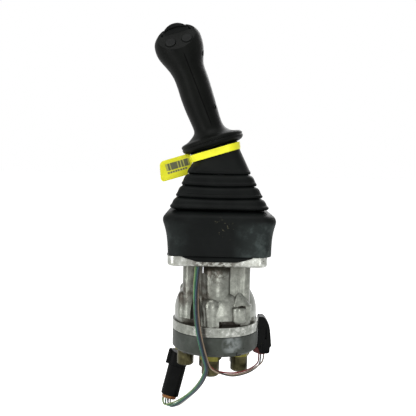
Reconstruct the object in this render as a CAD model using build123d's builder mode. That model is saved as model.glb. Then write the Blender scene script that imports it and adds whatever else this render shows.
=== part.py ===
from build123d import *
import math
import os

os.makedirs("parts", exist_ok=True)

# Hydraulic pilot joystick valve, in millimetres.
# The origin is the centre of the mounting flange's underside, +Z runs up the lever,
# +X is to the operator's right and -Y is towards the operator.

# ---------------------------------------------------------------- driving dimensions
FIT = 0.02                  # radial clearance of pieces that are pressed or screwed together
RUN = 0.04                  # radial clearance of shafts and spools that run in a bore
CLEAR = 0.35                # gap round pieces that move past each other

# mounting flange and upper housing
FLANGE_SIDE = 95.0
FLANGE_THICK = 9.6
FLANGE_CORNER_R = 8.0
FLANGE_EDGE_R = 2.5
MOUNT_SPACING = 76.0
MOUNT_HOLE_R = 4.5
BLOCK_WIDTH = 66.0
BLOCK_DEPTH = 62.0
BLOCK_CORNER_R = 7.0
SHOULDER_Z = -28.0
CROWN_R = 41.5
RING_TOP_Z = -59.5
RING_R = 43.5
SPLIT_Z = -69.0
UNDERCUT_HEIGHT = 6.0

# lower housing
GASKET_THICK = 0.5
LOWER_R = 43.2
LOWER_HEIGHT = 19.0
LOWER_EDGE = 2.5

# push rods, spools and springs
ROD_CIRCLE_R = 20.0
ROD_R = 4.0
ROD_FOOT_R = 6.6
ROD_FOOT_THICK = 2.0
PLUG_R = 8.5
PLUG_LENGTH = 21.0
CHAMBER_R = 8.0
CHAMBER_FLOOR_Z = -50.0
SEAT_R = 7.2
SEAT_THICK = 3.0
SPOOL_R = 4.0
SPOOL_LAND = 14.0
SPOOL_STEM_R = 2.0
RETURN_WIRE_R = 0.8
RETURN_COIL_R = 6.2

# retainer plate and universal joint
PLATE_SIDE = 62.0
PLATE_THICK = 5.0
STUD_R = 6.0
BASE_STUD_R = 7.0
BASE_STUD_REACH = 20.0
BASE_HEX_AF = 24.0
BASE_HEX_THICK = 3.0
PIVOT_Z = 25.5
TILT_DEG = 19.0
EAR_R = 4.5
EAR_INNER = 5.8
EAR_OUTER = 9.3
CROSS_HALF = 5.5
PIN_X_R = 3.0
PIN_Y_R = 1.8

# cam disc, nuts and lever
DISC_R = 26.0
DISC_RECESS_R = 13.5
CONTACT_RISE = 6.0          # contact face of the disc above the pivot
ROD_GAP = 0.75              # play between the contact face and a push rod's tip
HUB_RISE = 8.5
HUB_THICK = 3.0
DISC_WEB = 5.0
NUT_AF = 22.0
NUT_THICK = 7.0
LEVER_R = 6.0
LEVER_BORE_R = 3.2
LEVER_SOCKET_R = 9.0
LEVER_SOCKET_LENGTH = 14.0
LEVER_BEND_R = 26.0

# rubber boot
BOOT_SHIFT = 2.0            # sideways offset of the boot's hem from the lever's axis
BOOT_WALL = 3.0
HEM_Z = 10.0
BOOT_SPLIT_Z = 51.8
NECK_DROP = 30.0            # from the grip's foot down to the boot's neck

# grip
GRIP_LEAN = 17.5            # degrees to the operator's left
GRIP_X = -7.0
GRIP_Z = 118.0
BOOT_NECK_Z = GRIP_Z - NECK_DROP
BUTTON_R = 5.3
BUTTON_TRAVEL = 2.0
BUTTON_PROUD = 0.9
FACE_ANGLE = 36.0           # lean-back of the button face from upright
ROCKER_R = 15.5
ROCKER_DEPTH = 15.0

# port fittings: face-seal ends with an 11/16-16 thread
PORT_XY = [(-30.0, 11.0), (-4.0, -23.0), (25.0, -5.0), (25.0, 19.0), (-2.0, 32.0), (-7.0, 4.0)]
PORT_STUD_R = 7.1
PORT_STUD_LENGTH = 11.0
PORT_HEX_AF = 19.05
PORT_HEX_THICK = 7.0
BARREL_R = 8.73
BARREL_LENGTH = 15.7
PORT_BORE_R = 3.2

# harness
TRUNK_R = 3.2
LEFT_BRANCH_R = 1.9
RIGHT_BRANCH_R = 1.7
GROMMET_XY = (-18.8, -40.5)
GROMMET_R = 3.8

# screws that hold the lower housing
SCREW_TURNS = [-136.0, -55.0, 130.0, 64.0]
SCREW_R = 2.5
SCREW_HEAD_R = 4.6
SCREW_HEAD_THICK = 6.5
SCREW_REACH = 8.5

# small pieces round the push rods and fittings
PASSAGE_R = 4.8
PASSAGE_DEPTH = 6.0
FACE_SEAL_R = 6.3
FACE_SEAL_WIDTH = 1.6
PORT_HEX_TURN = 10.0
WIPER_R = 6.2
WIPER_THICK = 4.0
PLUG_RING_Z = -4.0
PLUG_RING_WIDTH = 1.8
SPOOL_TOP_Z = -52.0
RETURN_TURNS = 5
LEVER_TOP_S = 75.0

# ---------------------------------------------------------------- derived places
ROD_XY = [(ROD_CIRCLE_R, 0), (-ROD_CIRCLE_R, 0), (0, ROD_CIRCLE_R), (0, -ROD_CIRCLE_R)]
ROD_NAMES = ["right", "left", "rear", "front"]
TILT = math.radians(TILT_DEG)
ROD_TRAVEL = ROD_CIRCLE_R * TILT
PLATE_Z = FLANGE_THICK
PLATE_TOP = PLATE_Z + PLATE_THICK
CONTACT_Z = PIVOT_Z + CONTACT_RISE
ROD_TIP_Z = CONTACT_Z - ROD_GAP
PLUG_BOTTOM = FLANGE_THICK - PLUG_LENGTH
FOOT_TOP = PLUG_BOTTOM - ROD_TRAVEL - CLEAR
FOOT_BOTTOM = FOOT_TOP - ROD_FOOT_THICK
SEAT_BOTTOM = FOOT_BOTTOM - SEAT_THICK
LOWER_TOP = SPLIT_Z - GASKET_THICK
LOWER_BOTTOM = LOWER_TOP - LOWER_HEIGHT
HUB_Z = PIVOT_Z + HUB_RISE
DISC_SEAT_Z = HUB_Z + HUB_THICK
DISC_TOP = DISC_SEAT_Z + DISC_WEB
NUT_TOP = DISC_TOP + NUT_THICK
STUD_TOP = NUT_TOP + LEVER_SOCKET_LENGTH

LEAN = math.radians(GRIP_LEAN)
GRIP = Plane(
    origin=(GRIP_X, 0, GRIP_Z),
    x_dir=(math.cos(LEAN), 0, math.sin(LEAN)),
    z_dir=(-math.sin(LEAN), 0, math.cos(LEAN)),
)
LEVER_BEND_Z = GRIP_Z + GRIP_X / math.tan(LEAN)


BARREL_END_Z = LOWER_BOTTOM - PORT_HEX_THICK - BARREL_LENGTH
SCREW_CIRCLE_R = LOWER_R - SCREW_HEAD_R - 1.1
SCREW_XY = [
    (SCREW_CIRCLE_R * math.cos(math.radians(turn)), SCREW_CIRCLE_R * math.sin(math.radians(turn)))
    for turn in SCREW_TURNS
]

# boot profile: height, half width and corner radius from the hem up
BASE_SECTIONS = [
    (HEM_Z, 49.3, 12.0),
    (28.0, 50.2, 12.0),
    (37.0, 52.4, 13.0),
    (42.5, 53.9, 14.0),
    (46.5, 52.6, 14.0),
    (49.6, 49.0, 13.0),
    (51.2, 44.5, 12.0),
    (BOOT_SPLIT_Z - 0.3, 39.5, 10.0),
]
BOOT_THROAT = 34.0
BELLOWS_CORNER = 10.0
# share of the bellows' height, and half width
BELLOWS_HEIGHT = BOOT_NECK_Z - BOOT_SPLIT_Z
BELLOWS_SECTIONS = [
    (0.0, 38.5),
    (0.033, 42.0),
    (0.105, 46.2),
    (0.155, 46.7),
    (0.320, 43.6),
    (0.362, 41.6),
    (0.373, 39.6),
    (0.403, 40.7),
    (0.459, 41.0),
    (0.641, 37.6),
    (0.674, 36.2),
    (0.685, 34.2),
    (0.713, 35.2),
    (0.762, 35.6),
    (0.934, 32.6),
    (0.972, 31.0),
    (0.99, 28.8),
]
BELLOWS_INSIDE = [
    (0.0, 35.5),
    (0.157, 43.4),
    (0.298, 40.6),
    (0.373, 36.9),
    (0.464, 38.0),
    (0.624, 34.8),
    (0.685, 31.4),
    (0.762, 32.6),
    (0.912, 29.8),
    (0.99, 26.0),
]
# grip outline: height along the grip, sideways centre, half width, half depth
GRIP_SECTIONS = [
    (1.5, 0.2, 31.0, 29.0),
    (4.2, 0.0, 30.8, 28.8),
    (6.6, -0.6, 24.0, 24.2),
    (9.6, -0.4, 19.2, 20.6),
    (13.5, 0.3, 15.7, 18.2),
    (20.0, 0.0, 14.7, 17.4),
    (33.0, -1.0, 15.5, 17.8),
    (54.0, -1.9, 16.3, 18.6),
    (70.0, -2.6, 16.4, 18.9),
    (78.0, -3.7, 17.3, 19.2),
    (86.0, -4.4, 20.2, 19.8),
    (95.0, -5.1, 23.3, 20.6),
    (103.0, -5.3, 24.0, 20.8),
    (109.0, -5.1, 23.0, 20.0),
    (114.0, -4.6, 19.8, 17.6),
    (117.5, -4.4, 15.6, 14.0),
    (119.0, -4.3, 12.4, 11.2),
]
GRIP_CAVITY = [
    (1.4, 0.2, 27.5, 25.5),
    (4.0, 0.0, 25.0, 24.0),
    (9.0, -0.4, 15.2, 16.6),
    (14.0, 0.3, 12.0, 14.8),
    (20.0, 0.0, 11.7, 14.4),
    (54.0, -1.9, 13.3, 15.6),
    (76.0, -3.4, 13.6, 16.0),
    (86.0, -4.4, 16.8, 16.6),
    (95.0, -5.1, 20.0, 17.4),
    (103.0, -5.3, 20.8, 17.6),
    (109.0, -5.1, 19.6, 16.6),
    (114.0, -4.6, 15.8, 14.0),
]
GRIP_RIBS = [14.0, 58.0]
RIB_THICK = 4.0
SEAM_T = 5.27
SEAM_TURN = 5.1
BEZEL_THICK = 2.5
FACE_Y = -14.6
FACE_S = 103.8
BUTTON_T = [-12.4, 4.1]
ROCKER_T = -4.6
ROCKER_S = 107.2
ROCKER_CHORD = 3.8
ROCKER_SWING = 12.0
GRIP_BASE_SECTIONS = [
    (-4.7, 26.0, 24.4),
    (-3.4, 29.2, 27.4),
    (-1.6, 31.0, 29.0),
    (0.2, 31.4, 29.4),
    (1.2, 31.0, 29.0),
]
RIB_HALF_T = 13.8
RIB_HALF_Y = 16.2
RIB_SHIFT = -0.026
# grip screws: height, depth, place of the outer surface and of the far wall
GRIP_SCREWS = [(33.6, -9.2, 12.6, -11.5), (87.5, -4.0, 16.4, -23.0)]
GRIP_PILLAR_R = 2.9
GRIP_SCREW_R = 1.5
GRIP_SCREW_LENGTH = 17.0
GRIP_HEAD_R = 2.5
GRIP_HEAD_DEPTH = 2.6
GRIP_HEAD_THICK = 1.8
BUTTON_SKIRT = 5.6
SWITCH_R = 6.4
SWITCH_LENGTH = 11.5
ROCKER_GAP = 0.7
ROCKER_LUG_R = 3.4
ROCKER_LUG_DEPTH = 6.0
ROCKER_PIN_R = 1.2
CRADLE_S = 97.5
CRADLE_T = -5.2
CRADLE_HALF_T = 20.0
CRADLE_HALF_Y = 17.2
CRADLE_THICK = 2.5
CRADLE_FRONT_Y = 4.0
CHEEK_TOP_S = 109.2
CHEEK_WIDTH = 9.6
CHEEK_THICK = 2.8
TAG_THICK = 0.6
TAG_SECTIONS = [(-13.2, 24.4, 23.2), (-6.3, 25.6, 24.2)]
TAG_LENGTH = 26.8
TAG_HEIGHT = 19.5
TAG_TAB_LENGTH = 4.6
TAG_TAB_HEIGHT = 5.4
TAG_Y = 4.2
TAG_S = -9.7
TAG_DROP = 2.6

GROMMET_LIP = 1.6
LOCATING_PIN_XY = (-13.4, -37.2)
LOCATING_PIN_R = 0.8
LOCATING_PIN_LENGTH = 16.0

# cord routes, from the flange to the split and on to each connector
TRUNK_POINTS = [
    (-18.8, -40.5, -0.5),
    (-19.6, -41.0, -14.0),
    (-19.8, -42.5, -28.0),
    (-19.0, -45.0, -42.0),
    (-17.4, -48.0, -56.0),
    (-14.6, -49.0, -70.0),
    (-10.8, -48.0, -84.0),
    (-7.0, -45.5, -97.0),
]
LEFT_POINTS = [
    (-7.9, -45.2, -98.4),
    (-9.2, -40.5, -106.5),
    (-13.0, -31.0, -117.0),
    (-19.0, -19.5, -128.5),
    (-27.5, -5.5, -141.0),
    (-36.5, 8.5, -152.5),
    (-43.0, 18.0, -158.3),
    (-47.0, 24.0, -160.0),
    (-48.9, 27.2, -157.0),
    (-47.3, 28.1, -153.0),
]
RIGHT_POINTS = [
    (-4.3, -45.3, -97.2),
    (0.0, -43.3, -102.4),
    (8.2, -40.5, -104.8),
    (17.0, -36.0, -106.3),
    (25.6, -29.0, -107.2),
    (33.6, -19.5, -107.7),
    (40.6, -8.0, -107.6),
    (46.6, 3.5, -107.0),
    (50.9, 13.0, -106.6),
    (51.4, 15.0, -100.7),
]

LEFT_PLUG_TILT = 13.5
LEFT_PLUG_WIDTH = 18.6
LEFT_PLUG_DEPTH = 16.0
LEFT_PLUG_LENGTH = 47.5
RIGHT_PLUG_X = 43.9
RIGHT_PLUG_Y = 15.0
RIGHT_PLUG_TOP = -59.6
RIGHT_PLUG_BOTTOM = -97.6
RIGHT_PLUG_DEPTH = 16.0
SEAL_THICK = 2.2

FACE = Plane(
    origin=GRIP.from_local_coords((0, FACE_Y, FACE_S)),
    x_dir=GRIP.x_dir,
    z_dir=GRIP.z_dir * math.sin(math.radians(FACE_ANGLE)) - GRIP.y_dir * math.cos(math.radians(FACE_ANGLE)),
)
SEAM = Plane(
    origin=GRIP.from_local_coords((SEAM_T, 0, 0)),
    x_dir=GRIP.y_dir,
    z_dir=GRIP.x_dir * math.cos(math.radians(SEAM_TURN)) + GRIP.z_dir * math.sin(math.radians(SEAM_TURN)),
)
ROCKER_PLANE = Plane(
    origin=GRIP.from_local_coords((ROCKER_T, 0, ROCKER_S)),
    x_dir=GRIP.x_dir,
    z_dir=-GRIP.y_dir,
)
TAG_PLANE = Plane(
    origin=GRIP.from_local_coords((-TAG_SECTIONS[1][1] - TAG_THICK - 0.1, TAG_Y, TAG_S)),
    x_dir=GRIP.x_dir,
    z_dir=-GRIP.y_dir,
)
LEFT_PLUG = Plane(
    origin=(-46.6, 28.1, -150.2),
    x_dir=(math.cos(math.radians(LEFT_PLUG_TILT)), 0, -math.sin(math.radians(LEFT_PLUG_TILT))),
    z_dir=(math.sin(math.radians(LEFT_PLUG_TILT)), 0, math.cos(math.radians(LEFT_PLUG_TILT))),
)

NECK_TOP_S = -5.0
BAND_BOTTOM_S = -13.4
NECK_SECTIONS = [
    (Plane.XY.offset(BOOT_NECK_Z), 29.8, 29.8, 11.0),
    (Plane.XY.offset(BOOT_NECK_Z + 1.2), 30.6, 30.6, 11.0),
    (Plane.XY.offset(BOOT_NECK_Z + 3.0), 30.0, 30.0, 11.0),
    (GRIP.offset(BAND_BOTTOM_S), 24.2, 23.0, 14.0),
    (GRIP.offset(NECK_TOP_S - BOOT_WALL), 24.0, 22.6, 14.0),
    (GRIP.offset(NECK_TOP_S), 24.0, 22.6, 14.0),
]


def write(part, name):
    """Label a finished piece and write its STEP file."""
    part.label = name
    export_step(part, f"parts/{name}.step")


def flange_edge(side, offset):
    """Plane on one edge of the flange, facing outwards with its y axis up."""
    angle = math.radians(90 * side)
    out = Vector(math.cos(angle), math.sin(angle), 0)
    return Plane(
        origin=out * (FLANGE_SIDE / 2 + offset),
        x_dir=(-math.sin(angle), math.cos(angle), 0),
        z_dir=out,
    )


def side_plane(s, y, sideways):
    """Plane across the grip's width, facing right, at a height and depth of the grip."""
    return Plane(
        origin=GRIP.from_local_coords((sideways, y, s)),
        x_dir=GRIP.y_dir,
        z_dir=GRIP.x_dir,
    )


def boot_offset(height):
    """Sideways place of the boot's centre, which runs back to the lever's axis."""
    return BOOT_SHIFT * (BOOT_NECK_Z - height) / (BOOT_NECK_Z - HEM_Z)


# ---------------------------------------------------------------- upper housing
LENS_HALF = 34.0
LENS_TOP = 8.9
LENS_DROP = 3.8
LENS_DEPTH = 1.5
LENS_PROUD = 0.9

with BuildPart() as upper_housing:
    # mounting flange
    with BuildSketch():
        RectangleRounded(FLANGE_SIDE, FLANGE_SIDE, FLANGE_CORNER_R)
    extrude(amount=FLANGE_THICK)
    fillet(upper_housing.faces().sort_by(Axis.Z)[0].edges(), FLANGE_EDGE_R)
    # block that holds the four push rod bores, with cast lobes on its faces
    with BuildSketch():
        RectangleRounded(BLOCK_WIDTH, BLOCK_DEPTH, BLOCK_CORNER_R)
    extrude(amount=RING_TOP_Z)
    for side in (-1, 1):
        with BuildSketch():
            with Locations((-25.5, side * 23.5)):
                Circle(7.6)
            with Locations((-7.3, side * 28.5), (5.7, side * 28.5)):
                Circle(7.3)
        extrude(amount=SHOULDER_Z - 10)
        with BuildSketch():
            with Locations((21.5, side * (BLOCK_DEPTH / 2))):
                Rectangle(1.0, 1.2)
        extrude(amount=SHOULDER_Z + 1)
    # domed crown that widens the block to the lower ring
    with BuildSketch(Plane.XZ):
        with BuildLine():
            l1 = Line((0, SHOULDER_Z + 2), (BLOCK_WIDTH / 2 - 1, SHOULDER_Z + 2))
            l2 = TangentArc(l1 @ 1, (CROWN_R, SHOULDER_Z - 20), tangent=(1, -1.1))
            Polyline(l2 @ 1, (CROWN_R, RING_TOP_Z), (0, RING_TOP_Z), (0, SHOULDER_Z + 2))
        make_face()
    revolve(axis=Axis.Z)
    # ring that meets the lower housing
    with BuildSketch(Plane.XY.offset(SPLIT_Z)):
        Circle(RING_R)
    extrude(amount=RING_TOP_Z - SPLIT_Z)
    fillet(upper_housing.faces().sort_by(Axis.Z)[0].edges(), 0.6)
    # undercuts below the bosses, and the hollow that the harness runs down
    for side in (-1, 1):
        with BuildSketch(Plane.XY.offset(RING_TOP_Z)):
            with Locations((-28.0, side * 36.0), (13.5, side * 39.0)):
                RectangleRounded(21, 22, 5)
            with Locations((39.5, side * 21.0)):
                RectangleRounded(11, 11, 4)
        extrude(amount=UNDERCUT_HEIGHT, mode=Mode.SUBTRACT)
        with BuildSketch(Plane.XY.offset(RING_TOP_Z)):
            with Locations((-20.5, side * 42.0)):
                Ellipse(6.5, 12.0)
        extrude(amount=-RING_TOP_Z - 29.0, mode=Mode.SUBTRACT)
    # vertical bosses on the crown, with domed tops
    for side in (-1, 1):
        with Locations((-4.5, side * 32.0, 0)):
            with Locations((0, 0, RING_TOP_Z)):
                Cylinder(10.5, 18.5, align=(Align.CENTER, Align.CENTER, Align.MIN))
            with Locations((0, 0, RING_TOP_Z + 18.5)):
                Sphere(10.5)
        with Locations((-32.0, side * 22.0, RING_TOP_Z + UNDERCUT_HEIGHT)):
            Cylinder(5.6, 20, align=(Align.CENTER, Align.CENTER, Align.MIN))
            with Locations((0, 0, 20)):
                Sphere(5.6)
        with BuildSketch(Plane.XY.offset(RING_TOP_Z + UNDERCUT_HEIGHT)):
            with Locations((20.0, side * 31.5), (29.0, side * 29.0)):
                Circle(5.6)
            with Locations((11.5, side * 30.0)):
                Rectangle(8, 14)
        extrude(amount=15)
        with BuildSketch(Plane.XY.offset(RING_TOP_Z + UNDERCUT_HEIGHT + 15)):
            with Locations((24.0, side * 31.0)):
                RectangleRounded(18, 12, 5)
        with BuildSketch(Plane.XY.offset(SHOULDER_Z + 3)):
            with Locations((22.0, side * 29.0)):
                RectangleRounded(2.0, 2.0, 0.8)
        loft(ruled=True)
    # push rod bores: plug seat, spring chamber and spool bore
    with Locations(*[(x, y, FLANGE_THICK) for x, y in ROD_XY]):
        Cylinder(PLUG_R, PLUG_LENGTH, align=(Align.CENTER, Align.CENTER, Align.MAX), mode=Mode.SUBTRACT)
        Cylinder(
            CHAMBER_R,
            FLANGE_THICK - CHAMBER_FLOOR_Z,
            align=(Align.CENTER, Align.CENTER, Align.MAX),
            mode=Mode.SUBTRACT,
        )
        Cylinder(
            SPOOL_R,
            FLANGE_THICK - SPLIT_Z,
            align=(Align.CENTER, Align.CENTER, Align.MAX),
            mode=Mode.SUBTRACT,
        )
    # threaded hole of the universal joint
    with Locations((0, 0, FLANGE_THICK)):
        Cylinder(BASE_STUD_R, BASE_STUD_REACH + 4, align=(Align.CENTER, Align.CENTER, Align.MAX), mode=Mode.SUBTRACT)
    # mounting holes and the harness hole
    with Locations((0, 0, 0)):
        with GridLocations(MOUNT_SPACING, MOUNT_SPACING, 2, 2):
            Cylinder(MOUNT_HOLE_R, 40, mode=Mode.SUBTRACT)
    with Locations((*GROMMET_XY, 0)):
        Cylinder(GROMMET_R, 40, mode=Mode.SUBTRACT)
    with Locations((*LOCATING_PIN_XY, FLANGE_THICK)):
        Cylinder(LOCATING_PIN_R, 40, mode=Mode.SUBTRACT)
    # blind holes of the screws that hold the lower housing
    with Locations(*[(x, y, SPLIT_Z) for x, y in SCREW_XY]):
        Cylinder(SCREW_R, SCREW_REACH, align=(Align.CENTER, Align.CENTER, Align.MIN), mode=Mode.SUBTRACT)
    # shallow seats of the boot's lips, one on each edge of the flange
    for side in range(4):
        with BuildSketch(flange_edge(side, 0)):
            with BuildLine():
                ThreePointArc((-LENS_HALF, LENS_TOP), (0, LENS_TOP - LENS_DROP), (LENS_HALF, LENS_TOP))
                Line((LENS_HALF, LENS_TOP), (-LENS_HALF, LENS_TOP))
            make_face()
        extrude(amount=-LENS_DEPTH, mode=Mode.SUBTRACT)
write(upper_housing.part, "upper_housing")

with BuildPart() as boot_lips:
    for side in range(4):
        with BuildSketch(flange_edge(side, -LENS_DEPTH)):
            with BuildLine():
                ThreePointArc((-LENS_HALF, LENS_TOP), (0, LENS_TOP - LENS_DROP), (LENS_HALF, LENS_TOP))
                Line((LENS_HALF, LENS_TOP), (-LENS_HALF, LENS_TOP))
            make_face()
        extrude(amount=LENS_DEPTH + LENS_PROUD)
write(boot_lips.part, "boot_lips")

# ---------------------------------------------------------------- lower housing
with BuildPart() as housing_gasket:
    with BuildSketch(Plane.XY.offset(LOWER_TOP)):
        Circle(LOWER_R - 0.8)
        with Locations(*ROD_XY):
            Circle(PASSAGE_R, mode=Mode.SUBTRACT)
        with Locations(*SCREW_XY):
            Circle(SCREW_R, mode=Mode.SUBTRACT)
    extrude(amount=GASKET_THICK)
write(housing_gasket.part, "housing_gasket")

with BuildPart() as lower_housing:
    with BuildSketch(Plane.XY.offset(LOWER_BOTTOM)):
        Circle(LOWER_R)
    extrude(amount=LOWER_HEIGHT)
    chamfer(lower_housing.edges().sort_by(Axis.Z)[0], LOWER_EDGE)
    # cast relief in the bottom rim
    with Locations((LOWER_R * math.sin(math.radians(21)), -LOWER_R * math.cos(math.radians(21)), LOWER_BOTTOM)):
        with Locations(Rotation(0, 0, 21)):
            Box(14, 5, 9, mode=Mode.SUBTRACT)
    # a passage below each spool, and the threaded ports
    with Locations(*[(x, y, LOWER_TOP) for x, y in ROD_XY]):
        Cylinder(PASSAGE_R, PASSAGE_DEPTH, align=(Align.CENTER, Align.CENTER, Align.MAX), mode=Mode.SUBTRACT)
    with Locations(*[(x, y, LOWER_BOTTOM) for x, y in PORT_XY]):
        Cylinder(
            PORT_STUD_R + FIT,
            PORT_STUD_LENGTH + 0.5,
            align=(Align.CENTER, Align.CENTER, Align.MIN),
            mode=Mode.SUBTRACT,
        )
    with Locations(*[(x, y, LOWER_BOTTOM) for x, y in SCREW_XY]):
        Cylinder(SCREW_R + CLEAR, 60, mode=Mode.SUBTRACT)
        Cylinder(
            SCREW_HEAD_R + CLEAR,
            SCREW_HEAD_THICK,
            align=(Align.CENTER, Align.CENTER, Align.MIN),
            mode=Mode.SUBTRACT,
        )
write(lower_housing.part, "lower_housing")

with BuildPart() as housing_screws:
    for x, y in SCREW_XY:
        with BuildSketch(Plane.XY.offset(LOWER_BOTTOM)):
            with Locations((x, y)):
                Circle(SCREW_HEAD_R)
                RegularPolygon(SCREW_HEAD_R * 0.55, 6, mode=Mode.SUBTRACT)
        extrude(amount=SCREW_HEAD_THICK - 2.0)
        with BuildSketch(Plane.XY.offset(LOWER_BOTTOM + SCREW_HEAD_THICK - 2.0)):
            with Locations((x, y)):
                Circle(SCREW_HEAD_R)
        extrude(amount=2.0)
        with BuildSketch(Plane.XY.offset(LOWER_BOTTOM + SCREW_HEAD_THICK)):
            with Locations((x, y)):
                Circle(SCREW_R - FIT)
        extrude(amount=SPLIT_Z + SCREW_REACH - 0.5 - LOWER_BOTTOM - SCREW_HEAD_THICK)
write(housing_screws.part, "housing_screws")

# ---------------------------------------------------------------- port fittings
with BuildPart() as port_fittings:
    for x, y in PORT_XY:
        with BuildSketch(Plane.XY.offset(LOWER_BOTTOM)):
            with Locations((x, y)):
                Circle(PORT_STUD_R)
        extrude(amount=PORT_STUD_LENGTH)
        with BuildSketch(Plane.XY.offset(LOWER_BOTTOM)):
            with Locations((x, y)):
                RegularPolygon(PORT_HEX_AF / 2, 6, major_radius=False, rotation=PORT_HEX_TURN)
        extrude(amount=-PORT_HEX_THICK)
        with BuildSketch(Plane.XY.offset(LOWER_BOTTOM - PORT_HEX_THICK)):
            with Locations((x, y)):
                Circle(BARREL_R)
        extrude(amount=-BARREL_LENGTH)
    ends = port_fittings.faces().filter_by(Plane.XY).group_by(Axis.Z)[0]
    chamfer(ends.edges(), 1.2)
    with Locations(*[(x, y, LOWER_BOTTOM) for x, y in PORT_XY]):
        Cylinder(PORT_BORE_R, 100, mode=Mode.SUBTRACT)
    # seat of the face seal in the end of each barrel
    with BuildSketch(Plane.XY.offset(BARREL_END_Z)):
        with Locations(*PORT_XY):
            Circle(FACE_SEAL_R + FACE_SEAL_WIDTH / 2)
            Circle(FACE_SEAL_R - FACE_SEAL_WIDTH / 2, mode=Mode.SUBTRACT)
    extrude(amount=FACE_SEAL_WIDTH * 0.8, mode=Mode.SUBTRACT)
write(port_fittings.part, "port_fittings")

with BuildPart() as face_seals:
    for x, y in PORT_XY:
        with BuildSketch(Plane.XY.offset(BARREL_END_Z - FACE_SEAL_WIDTH * 0.2)):
            with Locations((x, y)):
                Circle(FACE_SEAL_R + FACE_SEAL_WIDTH / 2)
                Circle(FACE_SEAL_R - FACE_SEAL_WIDTH / 2, mode=Mode.SUBTRACT)
        extrude(amount=FACE_SEAL_WIDTH)
write(face_seals.part, "face_seals")

# ---------------------------------------------------------------- push rods, spools and springs
with BuildPart() as rod_plugs:
    for x, y in ROD_XY:
        with Locations((x, y, FLANGE_THICK)):
            Cylinder(PLUG_R - FIT, PLUG_LENGTH, align=(Align.CENTER, Align.CENTER, Align.MAX))
            Cylinder(ROD_R + RUN, 3 * PLUG_LENGTH, mode=Mode.SUBTRACT)
            Cylinder(WIPER_R, WIPER_THICK, align=(Align.CENTER, Align.CENTER, Align.MAX), mode=Mode.SUBTRACT)
        # groove of the plug's outer ring
        with BuildSketch(Plane.XY.offset(PLUG_RING_Z)):
            with Locations((x, y)):
                Circle(PLUG_R + 1)
                Circle(PLUG_R - PLUG_RING_WIDTH, mode=Mode.SUBTRACT)
        extrude(amount=PLUG_RING_WIDTH, mode=Mode.SUBTRACT)
write(rod_plugs.part, "rod_plugs")

for name, (x, y) in zip(ROD_NAMES, ROD_XY):
    with BuildPart() as push_rod:
        with Locations((x, y, 0)):
            with Locations((0, 0, FOOT_BOTTOM)):
                Cylinder(ROD_R, ROD_TIP_Z - ROD_R - FOOT_BOTTOM, align=(Align.CENTER, Align.CENTER, Align.MIN))
                Cylinder(ROD_FOOT_R, ROD_FOOT_THICK, align=(Align.CENTER, Align.CENTER, Align.MIN))
            with Locations((0, 0, ROD_TIP_Z - ROD_R)):
                Sphere(ROD_R)
    write(push_rod.part, f"push_rod_{name}")

    with BuildPart() as spool:
        with Locations((x, y, FOOT_BOTTOM)):
            Cylinder(SEAT_R, SEAT_THICK, align=(Align.CENTER, Align.CENTER, Align.MAX))
        with Locations((x, y, SEAT_BOTTOM)):
            Cylinder(
                SPOOL_STEM_R,
                SEAT_BOTTOM - SPOOL_TOP_Z,
                align=(Align.CENTER, Align.CENTER, Align.MAX),
            )
        with Locations((x, y, SPOOL_TOP_Z)):
            Cylinder(SPOOL_R - RUN, SPOOL_LAND, align=(Align.CENTER, Align.CENTER, Align.MAX))
        # metering grooves round the land
        for step in range(2):
            with BuildSketch(Plane.XY.offset(SPOOL_TOP_Z - 5.0 - 4.5 * step)):
                with Locations((x, y)):
                    Circle(SPOOL_R + 1)
                    Circle(SPOOL_R - 1.2, mode=Mode.SUBTRACT)
            extrude(amount=1.5, mode=Mode.SUBTRACT)
    write(spool.part, f"spool_{name}")

with BuildPart() as rod_wipers:
    for x, y in ROD_XY:
        with BuildSketch(Plane.XY.offset(FLANGE_THICK - WIPER_THICK)):
            with Locations((x, y)):
                Circle(WIPER_R - FIT)
                Circle(ROD_R + CLEAR, mode=Mode.SUBTRACT)
        extrude(amount=WIPER_THICK)
write(rod_wipers.part, "rod_wipers")

with BuildPart() as plug_rings:
    for x, y in ROD_XY:
        with BuildSketch(Plane.XY.offset(PLUG_RING_Z)):
            with Locations((x, y)):
                Circle(PLUG_R - FIT)
                Circle(PLUG_R - PLUG_RING_WIDTH, mode=Mode.SUBTRACT)
        extrude(amount=PLUG_RING_WIDTH)
write(plug_rings.part, "plug_rings")

for name, (x, y) in zip(ROD_NAMES, ROD_XY):
    with BuildPart() as return_spring:
        with BuildLine():
            coil = Helix(
                pitch=(SEAT_BOTTOM - CHAMBER_FLOOR_Z - 2 * RETURN_WIRE_R - 0.4) / RETURN_TURNS,
                height=SEAT_BOTTOM - CHAMBER_FLOOR_Z - 2 * RETURN_WIRE_R - 0.4,
                radius=RETURN_COIL_R,
                center=(x, y, CHAMBER_FLOOR_Z + RETURN_WIRE_R + 0.2),
            )
        with BuildSketch(Plane(origin=coil @ 0, z_dir=coil % 0)):
            RegularPolygon(RETURN_WIRE_R, 6)
        sweep(path=coil, is_frenet=True)
    write(return_spring.part, f"return_spring_{name}")

# ---------------------------------------------------------------- retainer plate and universal joint
with BuildPart() as retainer_plate:
    with BuildSketch(Plane.XY.offset(PLATE_Z)):
        RectangleRounded(PLATE_SIDE, PLATE_SIDE, 10)
        with Locations(*ROD_XY):
            Circle(ROD_R + CLEAR, mode=Mode.SUBTRACT)
        Circle(BASE_STUD_R, mode=Mode.SUBTRACT)
    extrude(amount=PLATE_THICK)
    chamfer(retainer_plate.faces().sort_by(Axis.Z)[-1].outer_wire().edges(), 0.8)
write(retainer_plate.part, "retainer_plate")

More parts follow.
